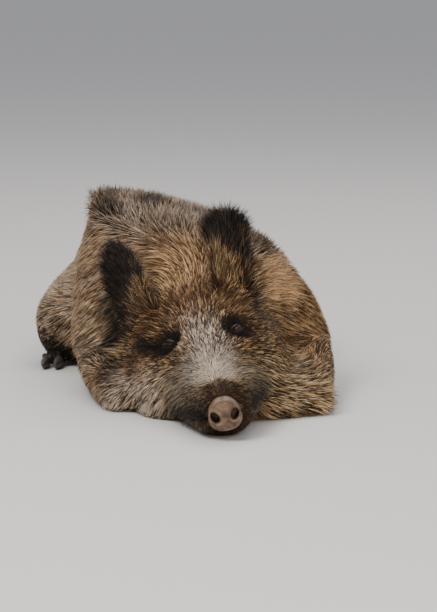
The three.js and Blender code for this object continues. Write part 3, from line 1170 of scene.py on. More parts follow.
@dataclass(frozen=True)
class BristleFinish:
    """Colour of a hair from root to tip for each kind of marking. Skin and coat share it.

    Attributes:
        agouti: The banded brown hair of most of the coat.
        silver: Pale grey hair, also the colour of painted light on the snout's bridge, the hind body and the
            right side.
        warm: Warm brown hair.
        straw: Pale yellow hair, also painted light on the right side.
        dark: Black-brown hair, also the colour of the coat's painted shade.
        hide: Bare skin, over its grain.
        fold: Brown folds of the lids, over their grain.
    """

    agouti: Stops = (
        (0.00, (0.014, 0.007, 0.003)),
        (0.17, (0.052, 0.026, 0.010)),
        (0.38, (0.320, 0.172, 0.072)),
        (0.70, (0.950, 0.605, 0.310)),
    )
    silver: Stops = (
        (0.00, (0.030, 0.023, 0.017)),
        (0.20, (0.110, 0.088, 0.068)),
        (0.38, (0.600, 0.495, 0.400)),
        (0.70, (1.000, 0.905, 0.790)),
    )
    warm: Stops = (
        (0.00, (0.014, 0.006, 0.002)),
        (0.20, (0.058, 0.027, 0.009)),
        (0.46, (0.260, 0.134, 0.049)),
        (0.85, (0.700, 0.440, 0.225)),
    )
    straw: Stops = (
        (0.00, (0.008, 0.004, 0.002)),
        (0.20, (0.032, 0.017, 0.008)),
        (0.38, (0.460, 0.265, 0.108)),
        (0.70, (1.000, 0.725, 0.380)),
    )
    dark: Stops = (
        (0.00, (0.003, 0.002, 0.002)),
        (0.50, (0.008, 0.005, 0.004)),
        (1.00, (0.060, 0.045, 0.039)),
    )
    hide: Stops = ((0.3, (0.003, 0.002, 0.002)), (0.7, (0.013, 0.009, 0.006)))
    fold: Stops = ((0.3, (0.040, 0.022, 0.013)), (0.7, (0.135, 0.080, 0.050)))

    def pelt_colour(self, nodes: Nodes, reach: Socket) -> Socket:
        """Mixes the markings that the mesh carries.

        Args:
            nodes: The material to write in.
            reach: How far from root to tip, from 0 to 1.

        Returns:
            The colour's socket.
        """
        marks = nodes.add("ShaderNodeAttribute", attribute_name="marking")
        parts = nodes.add("ShaderNodeSeparateColor", {0: marks.outputs["Color"]})
        mixed = nodes.ramp(reach, self.agouti)
        mixed = nodes.mix_colour(marks.outputs["Alpha"], mixed, nodes.ramp(reach, self.straw))
        mixed = nodes.mix_colour(parts.outputs[2], mixed, nodes.ramp(reach, self.warm))
        mixed = nodes.mix_colour(parts.outputs[0], mixed, nodes.ramp(reach, self.silver))
        return nodes.mix_colour(parts.outputs[1], mixed, nodes.ramp(reach, self.dark))

    def coat(self) -> bpy.types.Material:
        """Makes the finish of the tufts.

        Returns:
            The material.
        """
        nodes = Nodes("bristle_coat")
        along, tone = nodes.attribute("along"), nodes.attribute("tone")
        reach = nodes.sum_of("MULTIPLY", along, nodes.sum_of("MULTIPLY_ADD", tone, 0.78, 0.22))
        nodes.colour(self.pelt_colour(nodes, reach))
        return nodes.finish(0.60, 0.16)

    def skin(self) -> bpy.types.Material:
        """Makes the finish of the skin under the coat.

        Returns:
            The material.
        """
        nodes = Nodes("hairy_skin")
        grain = nodes.cloud(nodes.where(), 420.0, 6.0, 0.7)
        hairy = self.pelt_colour(nodes, nodes.sum_of("MULTIPLY", grain, 0.30))
        bare = nodes.attribute("bare")
        marks = nodes.attribute("marking", "Color")
        brown = nodes.add("ShaderNodeSeparateColor", {0: marks}).outputs[2]
        hide, fold = nodes.ramp(grain, self.hide), nodes.ramp(grain, self.fold)
        nodes.colour(nodes.mix_colour(bare, hairy, nodes.mix_colour(brown, hide, fold)))
        nodes.bump(grain, 0.5, 0.0015)
        return nodes.finish(0.75, 0.15)


@dataclass(frozen=True)
class NoseFinish:
    """Bare, moist, finely pitted skin of the snout.

    Attributes:
        deep: Painted shade inside the nostrils.
        mid: The skin's darker clouds.
        worn: Its paler ones.
    """

    deep: Colour = (0.010, 0.007, 0.006)
    mid: Colour = (0.050, 0.027, 0.015)
    worn: Colour = (0.190, 0.110, 0.064)

    def material(self) -> bpy.types.Material:
        """Makes the finish of the snout pad.

        Returns:
            The material.
        """
        nodes = Nodes("nose_skin")
        where = nodes.where()
        pits = nodes.add("ShaderNodeTexVoronoi", {"Vector": where, "Scale": 520.0})
        cloud = nodes.cloud(where, 75.0, 5.0)
        hollow = nodes.attribute("hollow")
        colour = nodes.ramp(cloud, ((0.32, self.mid), (0.68, self.worn)))
        # the nostrils' hollows are coloured near-black: painted shade
        nodes.colour(nodes.mix_colour(hollow, colour, (*self.deep, 1.0)))
        height = nodes.sum_of("MULTIPLY_ADD", cloud, 0.8, pits.outputs["Distance"])
        nodes.bump(height, 0.6, 0.0009)
        return nodes.finish(0.42)


@dataclass(frozen=True)
class EyeFinish:
    """Wet dark brown eye.

    Attributes:
        rim: Its paler fibres.
        pupil: Its darkest colour.
    """

    rim: Colour = (0.030, 0.014, 0.008)
    pupil: Colour = (0.004, 0.003, 0.003)

    def material(self) -> bpy.types.Material:
        """Makes the finish of the eyeballs.

        Returns:
            The material.
        """
        nodes = Nodes("wet_eye")
        fibres = nodes.cloud(nodes.where(), 900.0, 3.0)
        nodes.colour(nodes.ramp(fibres, ((0.35, self.pupil), (0.65, self.rim))))
        return nodes.finish(0.07, 0.20)


@dataclass(frozen=True)
class HornFinish:
    """Worn grey-black horn with fine growth lines.

    Attributes:
        dark: Its darkest colour.
        worn: Where it is scuffed.
    """

    dark: Colour = (0.012, 0.010, 0.009)
    worn: Colour = (0.105, 0.088, 0.074)

    def material(self) -> bpy.types.Material:
        """Makes the finish of hooves and dewclaws.

        Returns:
            The material.
        """
        nodes = Nodes("hoof_horn")
        where = nodes.where()
        wave = {"Vector": where, "Scale": 95.0, "Distortion": 3.0, "Detail": 3.0}
        lines = nodes.add("ShaderNodeTexWave", wave).outputs["Fac"]
        scuff = nodes.cloud(where, 160.0, 5.0)
        height = nodes.sum_of("MULTIPLY_ADD", scuff, 0.7, nodes.sum_of("MULTIPLY", lines, 0.3))
        nodes.colour(nodes.ramp(height, ((0.3, self.dark), (0.75, self.worn))))
        nodes.bump(height, 0.4, 0.0008)
        return nodes.finish(0.5)


# ---- skin ----


@dataclass(frozen=True)
class Form:
    """A soft swelling of the face, or a hollow where rise is negative.

    Attributes:
        aside: How far from the head's middle line, on both sides.
        along: How far behind the eyes.
        up: How far above the eyes.
        spread: How wide it is across, along and up.
        rise: How far it stands out.
    """

    aside: float
    along: float
    up: float
    spread: tuple[float, float, float]
    rise: float


@dataclass(frozen=True)
class Muzzle:
    """Outline of the snout under its hair, from the pad back to the cheeks.

    Attributes:
        along: Places behind the eyes, from the pad backwards.
        half: Half of its width at each place.
        top: Height of the bridge above the eyes at each place.
        middle: Height of its widest line at each place.
        chin_back: How far behind the pad the chin ends.
        jaw_half: How narrow the jaw is, as a share of the snout's width.
        floor: Height of its underside.
        fades: From where to where the outline gives way to the head's own.
        square: How square the upper and the lower half are, where 2 is round.
    """

    along: tuple[float, ...] = (-0.238, -0.228, -0.215, -0.175, -0.130, -0.085, -0.040, 0.010)
    half: tuple[float, ...] = (0.0290, 0.0340, 0.0460, 0.0600, 0.0670, 0.0760, 0.0900, 0.1060)
    top: tuple[float, ...] = (-0.0790, -0.0760, -0.0700, -0.0580, -0.0440, -0.0250, -0.0020, 0.0200)
    middle: tuple[float, ...] = (-0.1070, -0.1080, -0.1100, -0.1120, -0.1080, -0.1000, -0.0900, -0.0800)
    chin_back: float = 0.050
    jaw_half: float = 0.82
    floor: float = -0.1600
    fades: tuple[float, float] = (-0.075, 0.005)
    square: tuple[float, float] = (2.15, 3.2)

    def shape(self, aside: np.ndarray, along: np.ndarray, up: np.ndarray) -> tuple[np.ndarray, np.ndarray]:
        """Draws places on the head in to this outline.

        Args:
            aside: How far they are from the head's middle line.
            along: How far behind the eyes.
            up: How far above the eyes.

        Returns:
            Their new aside and up.
        """
        outline = (self.half, self.top, self.middle)
        half, top, middle = (np.interp(along, self.along, knots) for knots in outline)
        rise = up - middle
        upper = rise > 0
        reach = np.where(upper, top - middle, middle - self.floor)
        power = np.where(upper, *self.square)
        radius = (np.abs(aside / half) ** power + np.abs(rise / reach) ** power) ** (1.0 / power)
        fade = smooth(*self.fades, along)
        share = (1.0 - fade) / np.maximum(radius, 0.05) + fade
        share = np.where(radius > 0.3, share, 1.0)
        tuck = 1.0 - (1.0 - self.jaw_half) * smooth(0.012, 0.030, -rise) * (1.0 - fade)
        return aside * share * tuck, middle + rise * share


@dataclass
class Skin:
    """The animal's one skin, from muzzle to tail.

    Attributes:
        frame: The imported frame.
        marks: The animal's landmarks.
        leaves: How the two ears stand.
        claws: The middle of each claw, foot by foot.
        muzzle: Outline of the snout.
        voxel: How fine the skin's mesh is.
        fold_fill: How far clefts are swollen shut.
        ear_swell: How much an ear is thickened.
        ear_rise: How high it stays, as a share.
        ear_across: How wide it stays at its root, as a share.
        ear_top: How wide it stays at its tip, left first.
        eye_radius: Radius of an eyeball.
        eye_sunk: How deep its middle lies.
        lid: Thickness of a lid.
        slits: Half of the length, half of the height and the rise of each slit, left first.
        floor_gap: How high over the floor the skin ends.
        tail_hair: Depth of the hair round the tail.
        claw_root: Radius of the skin at the root of a claw.
        pastern_reach: Places up from the claws along the pastern.
        pastern_radius: Its radius there.
        forms: Swellings and hollows of the face.
    """

    frame: dict
    marks: Landmarks
    leaves: list[EarLeaf]
    claws: list[list[np.ndarray]]
    muzzle: Muzzle = Muzzle()
    voxel: float = 6.0 * MM
    fold_fill: float = 30.0 * MM
    ear_swell: float = 2.2 * MM
    ear_rise: float = 0.97
    ear_across: float = 0.84
    ear_top: tuple[float, float] = (1.30, 0.86)
    eye_radius: float = 11.5 * MM
    eye_sunk: float = 6.5 * MM
    lid: float = 1.5 * MM
    slits: tuple[tuple[float, float, float], ...] = (
        (0.0115, 0.0036, 0.0015),
        (0.0125, 0.0009, 0.0035),
    )
    floor_gap: float = 3.5 * MM
    tail_hair: float = 4.5 * MM
    claw_root: float = 9.5 * MM
    pastern_reach: tuple[float, ...] = (0.014, 0.030, 0.048, 0.068)
    pastern_radius: tuple[float, ...] = (0.0165, 0.0175, 0.0190, 0.0210)
    forms: tuple[Form, ...] = (
        Form(0.060, 0.022, 0.020, (0.026, 0.013, 0.014), 0.009),  # brow
        Form(0.044, -0.022, -0.016, (0.014, 0.022, 0.014), -0.006),  # inner corner of the eye
        Form(0.080, -0.012, -0.026, (0.022, 0.018, 0.011), 0.006),  # bag under the eye
        Form(0.094, 0.010, -0.062, (0.030, 0.034, 0.026), 0.009),  # cheek bone
        Form(0.042, -0.160, -0.104, (0.012, 0.022, 0.014), 0.006),  # upper lip over the canine
        Form(0.034, -0.105, -0.060, (0.012, 0.040, 0.014), -0.005),  # groove beside the bridge
        Form(0.000, 0.060, 0.050, (0.034, 0.035, 0.030), 0.005),  # forehead
    )

    def build(self) -> bpy.types.Object:
        """Makes the skin.

        Returns:
            Its object.
        """
        nodes = self.frame["nodes"]
        self.thing = copy_of([nodes[n] for n in TORSO + ("snout_disc",)], "skin")
        self.close_folds()
        self.sink_below_coat()
        self.draw_in_muzzle()
        self.add_ears()
        self.add_pasterns()
        self.add_tail()
        remesh(self.thing, 0.95 * self.voxel)
        relax(self.thing, 2)
        self.shape_face()
        self.cut_lids()
        self.settle_on_floor()
        shade_smooth(self.thing)
        log.info("skin: %d faces", len(self.thing.data.polygons))
        return self.thing

    def close_folds(self) -> None:
        """Fills the narrow clefts between limbs, head and body, as loose skin does."""
        remesh(self.thing, 1.2 * self.voxel)
        relax(self.thing, 3)
        for distance in (self.fold_fill, -self.fold_fill):
            apply(self.thing, "DISPLACE", strength=distance, mid_level=0.0)
            remesh(self.thing, 1.2 * self.voxel)
            relax(self.thing, 2)

    def depth(self, points: np.ndarray, normals: np.ndarray) -> np.ndarray:
        """How deep the skin lies under the tips of the coat.

        Args:
            points: Places on the outer surface.
            normals: The way out there.

        Returns:
            The depth at each place.
        """
        _, along, up = self.marks.on_head(points)
        head, muzzle = fall(0.08, 0.18, along), fall(-0.12, -0.05, along)
        beard = head * bell(along, -0.06, 0.06) * smooth(0.07, 0.12, -up)
        crest = smooth(0.5, 0.9, normals[:, 2]) * smooth(0.7, 0.9, points[:, 2] / self.marks.crest_height)
        eye_near = nearest(points, [middle_of(node) for node in EYES])
        deep = layered(
            0.0068,
            (0.0060, head),
            (0.003, muzzle),
            (0.021, beard * (1.0 - 0.8 * muzzle)),
            (0.030, crest * smooth(0.2, 0.3, along)),
        )
        deep = mix(0.0015, deep, smooth(0.020, 0.048, eye_near))
        return mix(0.004, deep, smooth(0.0, 0.05, points[:, 2]))

    def sink_below_coat(self) -> None:
        """Moves the surface in by the depth of the coat, in small steps that keep it whole."""
        for _ in range(3):
            points, normals = places(self.thing), outward(self.thing)
            set_places(self.thing, points - normals * (self.depth(points, normals) / 3)[:, None])
            relax(self.thing, 2)

    def draw_in_muzzle(self) -> None:
        """Brings the snout in to its own outline, and stops it just behind the pad."""
        points = places(self.thing)
        aside, along, up = self.marks.on_head(points)
        new_aside, new_up = self.muzzle.shape(aside, along, up)
        chin = smooth(0.016, 0.032, np.interp(along, self.muzzle.along, self.muzzle.middle) - new_up)
        front = self.marks.snout_along + 0.007 + self.muzzle.chin_back * chin
        ahead = np.maximum(along, front + 0.2 * (along - front))
        shift = (new_aside - aside)[:, None] * self.marks.to_left
        shift = shift + (new_up - up)[:, None] * self.marks.head_up
        shift[:, 1] += ahead - along
        set_places(self.thing, points + shift * (along < 0.02)[:, None])
        remesh(self.thing, self.voxel)
        relax(self.thing, 2)

    def add_ears(self) -> None:
        """Grows the ears out of the head."""
        for leaf, top in zip(self.leaves, self.ear_top):
            ear = copy_of([self.frame["nodes"][leaf.name]], leaf.name + "_leaf")
            apply(ear, "SUBSURF", levels=1, render_levels=1)
            away = places(ear) - leaf.middle
            rise, across = away @ leaf.rise, away @ leaf.across
            shrink = (1.0 - self.ear_rise) * np.maximum(rise, 0.0)[:, None] * leaf.rise
            broad = mix(self.ear_across, top, smooth(0.25, 0.95, rise / leaf.high))
            shrink = shrink + ((1.0 - broad) * across)[:, None] * leaf.across
            set_places(ear, places(ear) - shrink)
            apply(ear, "DISPLACE", strength=self.ear_swell, mid_level=0.0)
            join(self.thing, ear)

    def add_pasterns(self) -> None:
        """Carries the skin of each leg on to its claws."""
        for claws, leg in zip(self.claws, LEGS):
            middle = np.mean(claws, axis=0)
            corners = places(self.frame["nodes"][leg])
            near = corners[np.linalg.norm(corners - middle, axis=1) < 0.085]
            away = (near.mean(axis=0) - middle) * np.array((1.0, 1.0, 0.3))
            away = away / np.linalg.norm(away)
            for reach, radius in zip(self.pastern_reach, self.pastern_radius):
                self.add_ball(middle + reach * away, radius)
            for claw in claws:
                self.add_ball(mix(claw, middle + self.pastern_reach[1] * away, 0.42), self.claw_root)

    def add_ball(self, place: np.ndarray, radius: float) -> None:
        """Joins a ball to the skin, before the remesh that makes one surface of all.

        Args:
            place: The ball's middle.
            radius: Its radius.
        """
        place = (place[0], place[1], max(place[2], radius + self.floor_gap))
        join(self.thing, new_ball(20, 14, radius, location=place))

    def add_tail(self) -> None:
        """Hangs the tail on the rump again, where closing the folds has drawn it in."""
        tail = copy_of([self.frame["nodes"]["tail"]], "tail_core")
        apply(tail, "DISPLACE", strength=-self.tail_hair, mid_level=0.0)
        join(self.thing, tail)

    def shape_face(self) -> None:
        """Raises the forms of the face and refines the mesh of the head."""
        _, along, _ = self.marks.on_head(places(self.thing))
        subdivide_where(self.thing, along < 0.045)
        relax(self.thing, 1)
        points, normals = places(self.thing), outward(self.thing)
        aside, along, up = self.marks.on_head(points)
        rise = np.zeros(len(points))
        for form in self.forms:
            near = bell(np.abs(aside), form.aside, form.spread[0]) * bell(along, form.along, form.spread[1])
            rise += form.rise * near * bell(up, form.up, form.spread[2])
        snout = along - self.marks.snout_along
        wrinkles = np.sin(snout / 0.0017 + 1.2 * noise(points, 0.02, 3)) * bell(snout, 0.032, 0.012)
        rise += 0.0016 * wrinkles * smooth(-0.115, -0.095, up)
        rise += 0.0025 * bell(snout, 0.018, 0.006)
        lip_line = -0.114 + 0.12 * np.maximum(along + 0.13, 0.0)
        mouth = smooth(0.016, 0.026, np.abs(aside)) * fall(-0.085, -0.060, along)
        rise -= 0.0045 * mouth * bell(up, lip_line, 0.0030)
        rise += 0.0022 * mouth * bell(up, lip_line + 0.009, 0.0050)
        set_places(self.thing, points + normals * rise[:, None])

    def find_eyes(self) -> list[Eye]:
        """Finds the two eyes: the left one is half open, the right one nearly shut.

        Returns:
            The eyes, left first.
        """
        eyes = []
        points, normals = places(self.thing), outward(self.thing)
        for name, side, size in zip(EYES, (1.0, -1.0), self.slits):
            middle = middle_of(name)
            near = np.linalg.norm(points - middle, axis=1) < 0.028
            looks = normals[near].mean(axis=0)
            looks = looks / np.linalg.norm(looks)
            slit = side * self.marks.to_left + np.array((0.0, 0.75, 0.0)) - 0.05 * self.marks.head_up
            slit = slit - (slit @ looks) * looks
            slit = slit / np.linalg.norm(slit)
            across = np.cross(looks, slit)
            across = across * np.sign(across[2])
            eyes.append(Eye(middle - self.eye_sunk * looks, looks, slit, across, *size))
        return eyes

    def cut_lids(self) -> None:
        """Lays the lids over the eyes."""
        self.eyes = self.find_eyes()
        for reach in (0.034, 0.022):
            points = places(self.thing)
            near = nearest(points, [eye.middle for eye in self.eyes])
            subdivide_where(self.thing, near < reach)
        points = places(self.thing)
        for eye in self.eyes:
            points = self.lay_lid(points, eye)
        set_places(self.thing, points)

    def lay_lid(self, points: np.ndarray, eye: Eye) -> np.ndarray:
        """Moves the skin round one eye so that it lies over the ball and leaves the slit open.

        Args:
            points: The skin's corners.
            eye: The eye.

        Returns:
            The moved corners.
        """
        u, v, w = eye.on_ball(points)
        spread = np.hypot(u, v)
        line, half = eye.slit_line(u)
        bow = half / eye.half_open
        beyond = smooth(eye.half_long - 0.001, eye.half_long + 0.001, np.abs(u))
        gap = np.abs(v - line) - half + 0.004 * beyond
        lid = np.sqrt(np.maximum((self.eye_radius + self.lid) ** 2 - spread**2, 0.0))
        ball = np.sqrt(np.maximum(self.eye_radius**2 - spread**2, 0.0))
        covered = 0.5 * (lid + w + np.sqrt((lid - w) ** 2 + 0.003**2))
        covered += 0.0006 * bell(gap, 0.0012, 0.0009) * (spread < self.eye_radius)
        covered -= 0.0013 * bell(v - line, 0.0072 + 0.002 * bow, 0.0009) * fall(0.012, 0.018, np.abs(u))
        covered -= 0.0011 * bell(line - v, 0.0065 + 0.002 * bow, 0.0010) * fall(0.011, 0.016, np.abs(u))
        target = mix(covered, ball - 0.003, fall(-0.0005, 0.0005, gap))
        hold = fall(0.018, 0.028, spread) * smooth(-0.014, -0.008, w)
        return points + ((target - w) * hold)[:, None] * eye.looks

    def settle_on_floor(self) -> None:
        """Presses the skin flat where it lies on the floor."""
        points = places(self.thing)
        points[:, 2] = np.maximum(points[:, 2], self.floor_gap)
        set_places(self.thing, points)


# ---- coat ----


@dataclass(frozen=True)
class Patch:
    """One piece of the coat.

    Attributes:
        name: The piece's name.
        takes: Tells which places on the skin belong to it.
        bends: How many bends a tuft has.
    """

    name: str
    takes: Callable[["Places"], np.ndarray]
    bends: int = 1


@dataclass
class Places:
    """Corners of the skin with what the coat needs to know there.

    Attributes:
        points: The corners.
        normals: The way out there.
        along: How far behind the eyes they are.
        up: How far above the eyes.
        ear: Share of ear.
    """

    points: np.ndarray
    normals: np.ndarray
    along: np.ndarray
    up: np.ndarray
    ear: np.ndarray


@dataclass(frozen=True)
class Roots:
    """Where the tufts of one piece are rooted.

    Attributes:
        corners: The three corners of the skin round each root.
        shares: How much each of them counts.
        wanted: How many tufts the coat's density asks for.
    """

    corners: np.ndarray
    shares: np.ndarray
    wanted: int

    def between(self, values: np.ndarray) -> np.ndarray:
        """Reads values at the roots.

        Args:
            values: Values at the corners of the skin.

        Returns:
            The value at each root.
        """
        shares = self.shares if values.ndim == 1 else self.shares[:, :, None]
        return (values[self.corners] * shares).sum(axis=1)


@dataclass
class Coat:
    """Tufts of solid hair over the skin.

    Attributes:
        skin: The skin's object.
        marks: The animal's landmarks.
        coat_map: Tells what the coat is like at any place.
        finish: The tufts' material.
        patches: The pieces of the coat.
        most_triangles: How many triangles a piece may have.
        lock_pull: How far tufts lean to the middle of their lock.
    """

    skin: bpy.types.Object
    marks: Landmarks
    coat_map: CoatMap
    finish: bpy.types.Material
    patches: tuple[Patch, ...]
    most_triangles: int = 199000
    lock_pull: float = 0.62

    def gather(self, nodes: dict[str, bpy.types.Object]) -> None:
        """Reads the skin and works out the coat at each of its corners.

        Args:
            nodes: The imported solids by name.
        """
        mesh = self.skin.data
        mesh.calc_loop_triangles()
        triangles = np.empty(len(mesh.loop_triangles) * 3, np.int32)
        mesh.loop_triangles.foreach_get("vertices", triangles)
        self.triangles = triangles.reshape(-1, 3)
        points, normals = places(self.skin), outward(self.skin)
        names = list((*TORSO, "snout_disc"))
        corners = [places(nodes[n]) for n in names]
        tree = KDTree(sum(len(c) for c in corners))
        owner = []
        for number, node_corners in enumerate(corners):
            for corner in node_corners:
                tree.insert(corner, len(owner))
                owner.append(number)
        tree.balance()
        owners = [owner[tree.find(point)[1]] for point in points]
        part = np.array(names, dtype=object)[owners]
        _, along, up = self.marks.on_head(points)
        self.pelt = self.coat_map.read(points, normals, part)
        self.places = Places(points, normals, along, up, self.pelt.ear)
        self.surface = BVHTree.FromPolygons(points.tolist(), self.triangles.tolist())

    def paint_skin(self) -> None:
        """Gives the skin the same markings as the coat."""
        pelt = self.pelt
        marks = np.stack([pelt.silver, pelt.dark, pelt.warm, pelt.straw], axis=1)
        store(self.skin, "marking", "FLOAT_COLOR", marks)
        store(self.skin, "bare", "FLOAT", pelt.bare)

    def grow(self, patch: Patch, number: int) -> bpy.types.Object:
        """Grows one piece of the coat.

        Args:
            patch: Which piece.
            number: Its place in the order, which seeds its random draws.

        Returns:
            The piece.
        """
        rng = np.random.default_rng(SEED + number)
        roots = self.sow(patch, rng)
        count, pelt = len(roots.corners), self.pelt
        root, normal = roots.between(self.places.points), unit(roots.between(self.places.normals))
        wild = roots.between(np.maximum(pelt.ear, pelt.calm))
        swing = rng.normal(0, 8, count)
        swing = np.radians(14 * noise(root, 0.045, 11) + 9 * noise(root, 0.014, 12) + swing)
        way, across = self.comb(roots.between(pelt.way), normal, swing * (0.60 + 1.3 * wild))
        stretch = 1 / max(1.0, math.sqrt(count / max(roots.wanted, 1)))
        length = roots.between(pelt.length) * (0.95 + rng.uniform(-0.30, 0.30, count) * (1.0 + 0.9 * wild))
        width = roots.between(pelt.width) * rng.uniform(0.75, 1.25, count) * stretch
        lift = np.radians(roots.between(pelt.lift) * rng.uniform(0.6, 1.4, count))
        pull, lock = self.lock(root, roots.between(pelt.lock), rng)
        marks, tone = self.colours(roots, lock, rng)

        rings = patch.bends + 1
        ways = np.arange(rings + 1) / rings
        start = root - (0.09 * np.minimum(length, 0.014))[:, None] * normal
        spine = [start]
        for t in ways[1:]:
            rise = np.sin(lift) * (t - 0.45 * t * t)
            step = way * (np.cos(lift) * t)[:, None] + normal * rise[:, None]
            reached = start + step * length[:, None] + pull * t * t
            height = 0.8 * MM + length * np.sin(lift) * (t - 0.45 * t**2)
            spine.append(self.lay_on_skin(reached, height, roots.between(pelt.hug)))
        points = np.empty((count, 3 * rings + 1, 3))
        for ring, centre in enumerate(spine[:-1]):
            girth = width * (1.0 - 0.62 * (ways[ring] ** 1.6))
            points[:, 3 * ring] = centre - across * (0.5 * girth)[:, None]
            points[:, 3 * ring + 1] = centre + across * (0.5 * girth)[:, None]
            points[:, 3 * ring + 2] = centre + normal * (0.42 * girth)[:, None]
        points[:, -1] = spine[-1]
        height = points[:, :, 2]
        points[:, :, 2] = 0.5 * (height + np.sqrt(height**2 + SETTLE**2))
        return self.mesh_of(patch, points, ways, marks, tone, self.unwrap(root))

    def sow(self, patch: Patch, rng: np.random.Generator) -> Roots:
        """Draws where the tufts of a piece are rooted.

        Args:
            patch: Which piece.
            rng: Its random draws.

        Returns:
            The roots.
        """
        inside = patch.takes(self.places)
        tri = self.triangles[inside[self.triangles].sum(axis=1) >= 2]
        corner = self.places.points[tri]
        sides = corner[:, 1] - corner[:, 0], corner[:, 2] - corner[:, 0]
        area = 0.5 * np.linalg.norm(np.cross(*sides), axis=1)
        weight = area * self.pelt.density[tri].mean(axis=1)
        wanted = int(weight.sum())
        count = min(wanted, self.most_triangles // (4 + 6 * patch.bends))
        log.info("%s: %d tufts of %d wanted", patch.name, count, wanted)
        steps = (np.arange(count) + rng.random(count)) / count
        chosen = np.searchsorted(np.cumsum(weight) / weight.sum(), steps)
        share = rng.random((count, 2))
        share = np.where(share.sum(axis=1, keepdims=True) > 1, 1 - share, share)
        share = np.concatenate([1 - share.sum(axis=1, keepdims=True), share], axis=1)
        return Roots(tri[np.minimum(chosen, len(tri) - 1)], share, wanted)

    @staticmethod
    def comb(way: np.ndarray, normal: np.ndarray, swing: np.ndarray) -> tuple[np.ndarray, np.ndarray]:
        """Lays tufts along the skin and swings them a little aside.

        Args:
            way: The way in which the coat lies.
            normal: The way out of the skin.
            swing: How far each tuft swings, in radians.

        Returns:
            The way of each tuft and the way across it.
        """
        way = unit(way - (way * normal).sum(axis=1, keepdims=True) * normal)
        across = np.cross(normal, way)
        way = way * np.cos(swing)[:, None] + across * np.sin(swing)[:, None]
        return way, np.cross(normal, way)

    def lock(
        self, root: np.ndarray, size: np.ndarray, rng: np.random.Generator
    ) -> tuple[np.ndarray, np.ndarray]:
        """Gathers tufts in locks.

        Args:
            root: Roots of the tufts.
            size: How wide the locks are there.
            rng: The piece's random draws.

        Returns:
            How far each tuft is drawn to the middle of its lock, and a number that its lock shares.
        """
        warp = np.stack([noise(root, 0.014, 41 + k) for k in range(3)], axis=1)
        cell = np.floor(root / size[:, None] + 0.7 * warp).astype(np.int64)
        _, group = np.unique(cell, axis=0, return_inverse=True)
        group = group.reshape(-1)
        members = np.bincount(group)
        heart = np.stack([np.bincount(group, root[:, k]) / members for k in range(3)], axis=1)[group]
        pull = (heart - root) * (self.lock_pull * rng.uniform(0.4, 1.0, len(root)))[:, None]
        return pull, rng.random(len(members))[group]

    def colours(
        self, roots: Roots, lock: np.ndarray, rng: np.random.Generator
    ) -> tuple[np.ndarray, np.ndarray]:
        """Draws the colour of the tufts.

        Args:
            roots: Where they are rooted.
            lock: A number for each tuft that its lock shares.
            rng: The piece's random draws.

        Returns:
            Markings of each tuft, and how light it is.
        """
        count, pelt = len(lock), self.pelt
        calm = roots.between(pelt.calm)
        tone = 0.45 * rng.random(count) + 0.80 * lock - 0.08
        tone = np.where(rng.random(count) < 0.27 * (1.0 - np.maximum(calm, 0.0)), 0.15 * tone, tone)
        tone = np.clip(0.46 + (tone - 0.46) * (1.0 - calm) + roots.between(pelt.light), 0.0, 1.0)
        marks = [roots.between(v) for v in (pelt.silver, pelt.dark, pelt.warm, pelt.straw)]
        marks = np.stack(marks, axis=1)
        uneven = rng.normal(0, 1, (count, 4)) * (0.05 + 0.9 * marks * (1.0 - marks))
        uneven = uneven * (1.0 - 0.8 * np.maximum(calm, 0.0))[:, None]
        return np.clip(marks + uneven, 0, 1), tone

    def lay_on_skin(self, points: np.ndarray, height: np.ndarray, hug: np.ndarray) -> np.ndarray:
        """Brings points of the tufts to their height above the skin, so that hair follows its curves.

        Args:
            points: One point on each tuft.
            height: How far above the skin each should be.
            hug: How much of its way down a point that is too high goes, from 0 to 1.

        Returns:
            The moved points.
        """
        found = [self.surface.find_nearest(point)[:2] for point in points.tolist()]
        on_skin = np.array([tuple(place) for place, _ in found])
        normal = np.array([tuple(out) for _, out in found])
        missing = height - ((points - on_skin) * normal).sum(axis=1)
        return points + normal * (np.maximum(missing, 0.0) + hug * np.minimum(missing, 0.0))[:, None]

    def unwrap(self, root: np.ndarray) -> np.ndarray:
        """Where each tuft's root lies on the skin, rolled out round the body's length.

        Args:
            root: Roots of the tufts.

        Returns:
            Their places, from 0.01 to 0.99 each way.
        """
        middle = np.median(root, axis=0)
        turn = np.arctan2(root[:, 0] - middle[0], root[:, 2] - 0.5 * root[:, 2].max())
        flat = np.stack([turn, root[:, 1]], axis=1)
        low, high = flat.min(axis=0), flat.max(axis=0)
        return 0.01 + 0.98 * (flat - low) / (high - low)

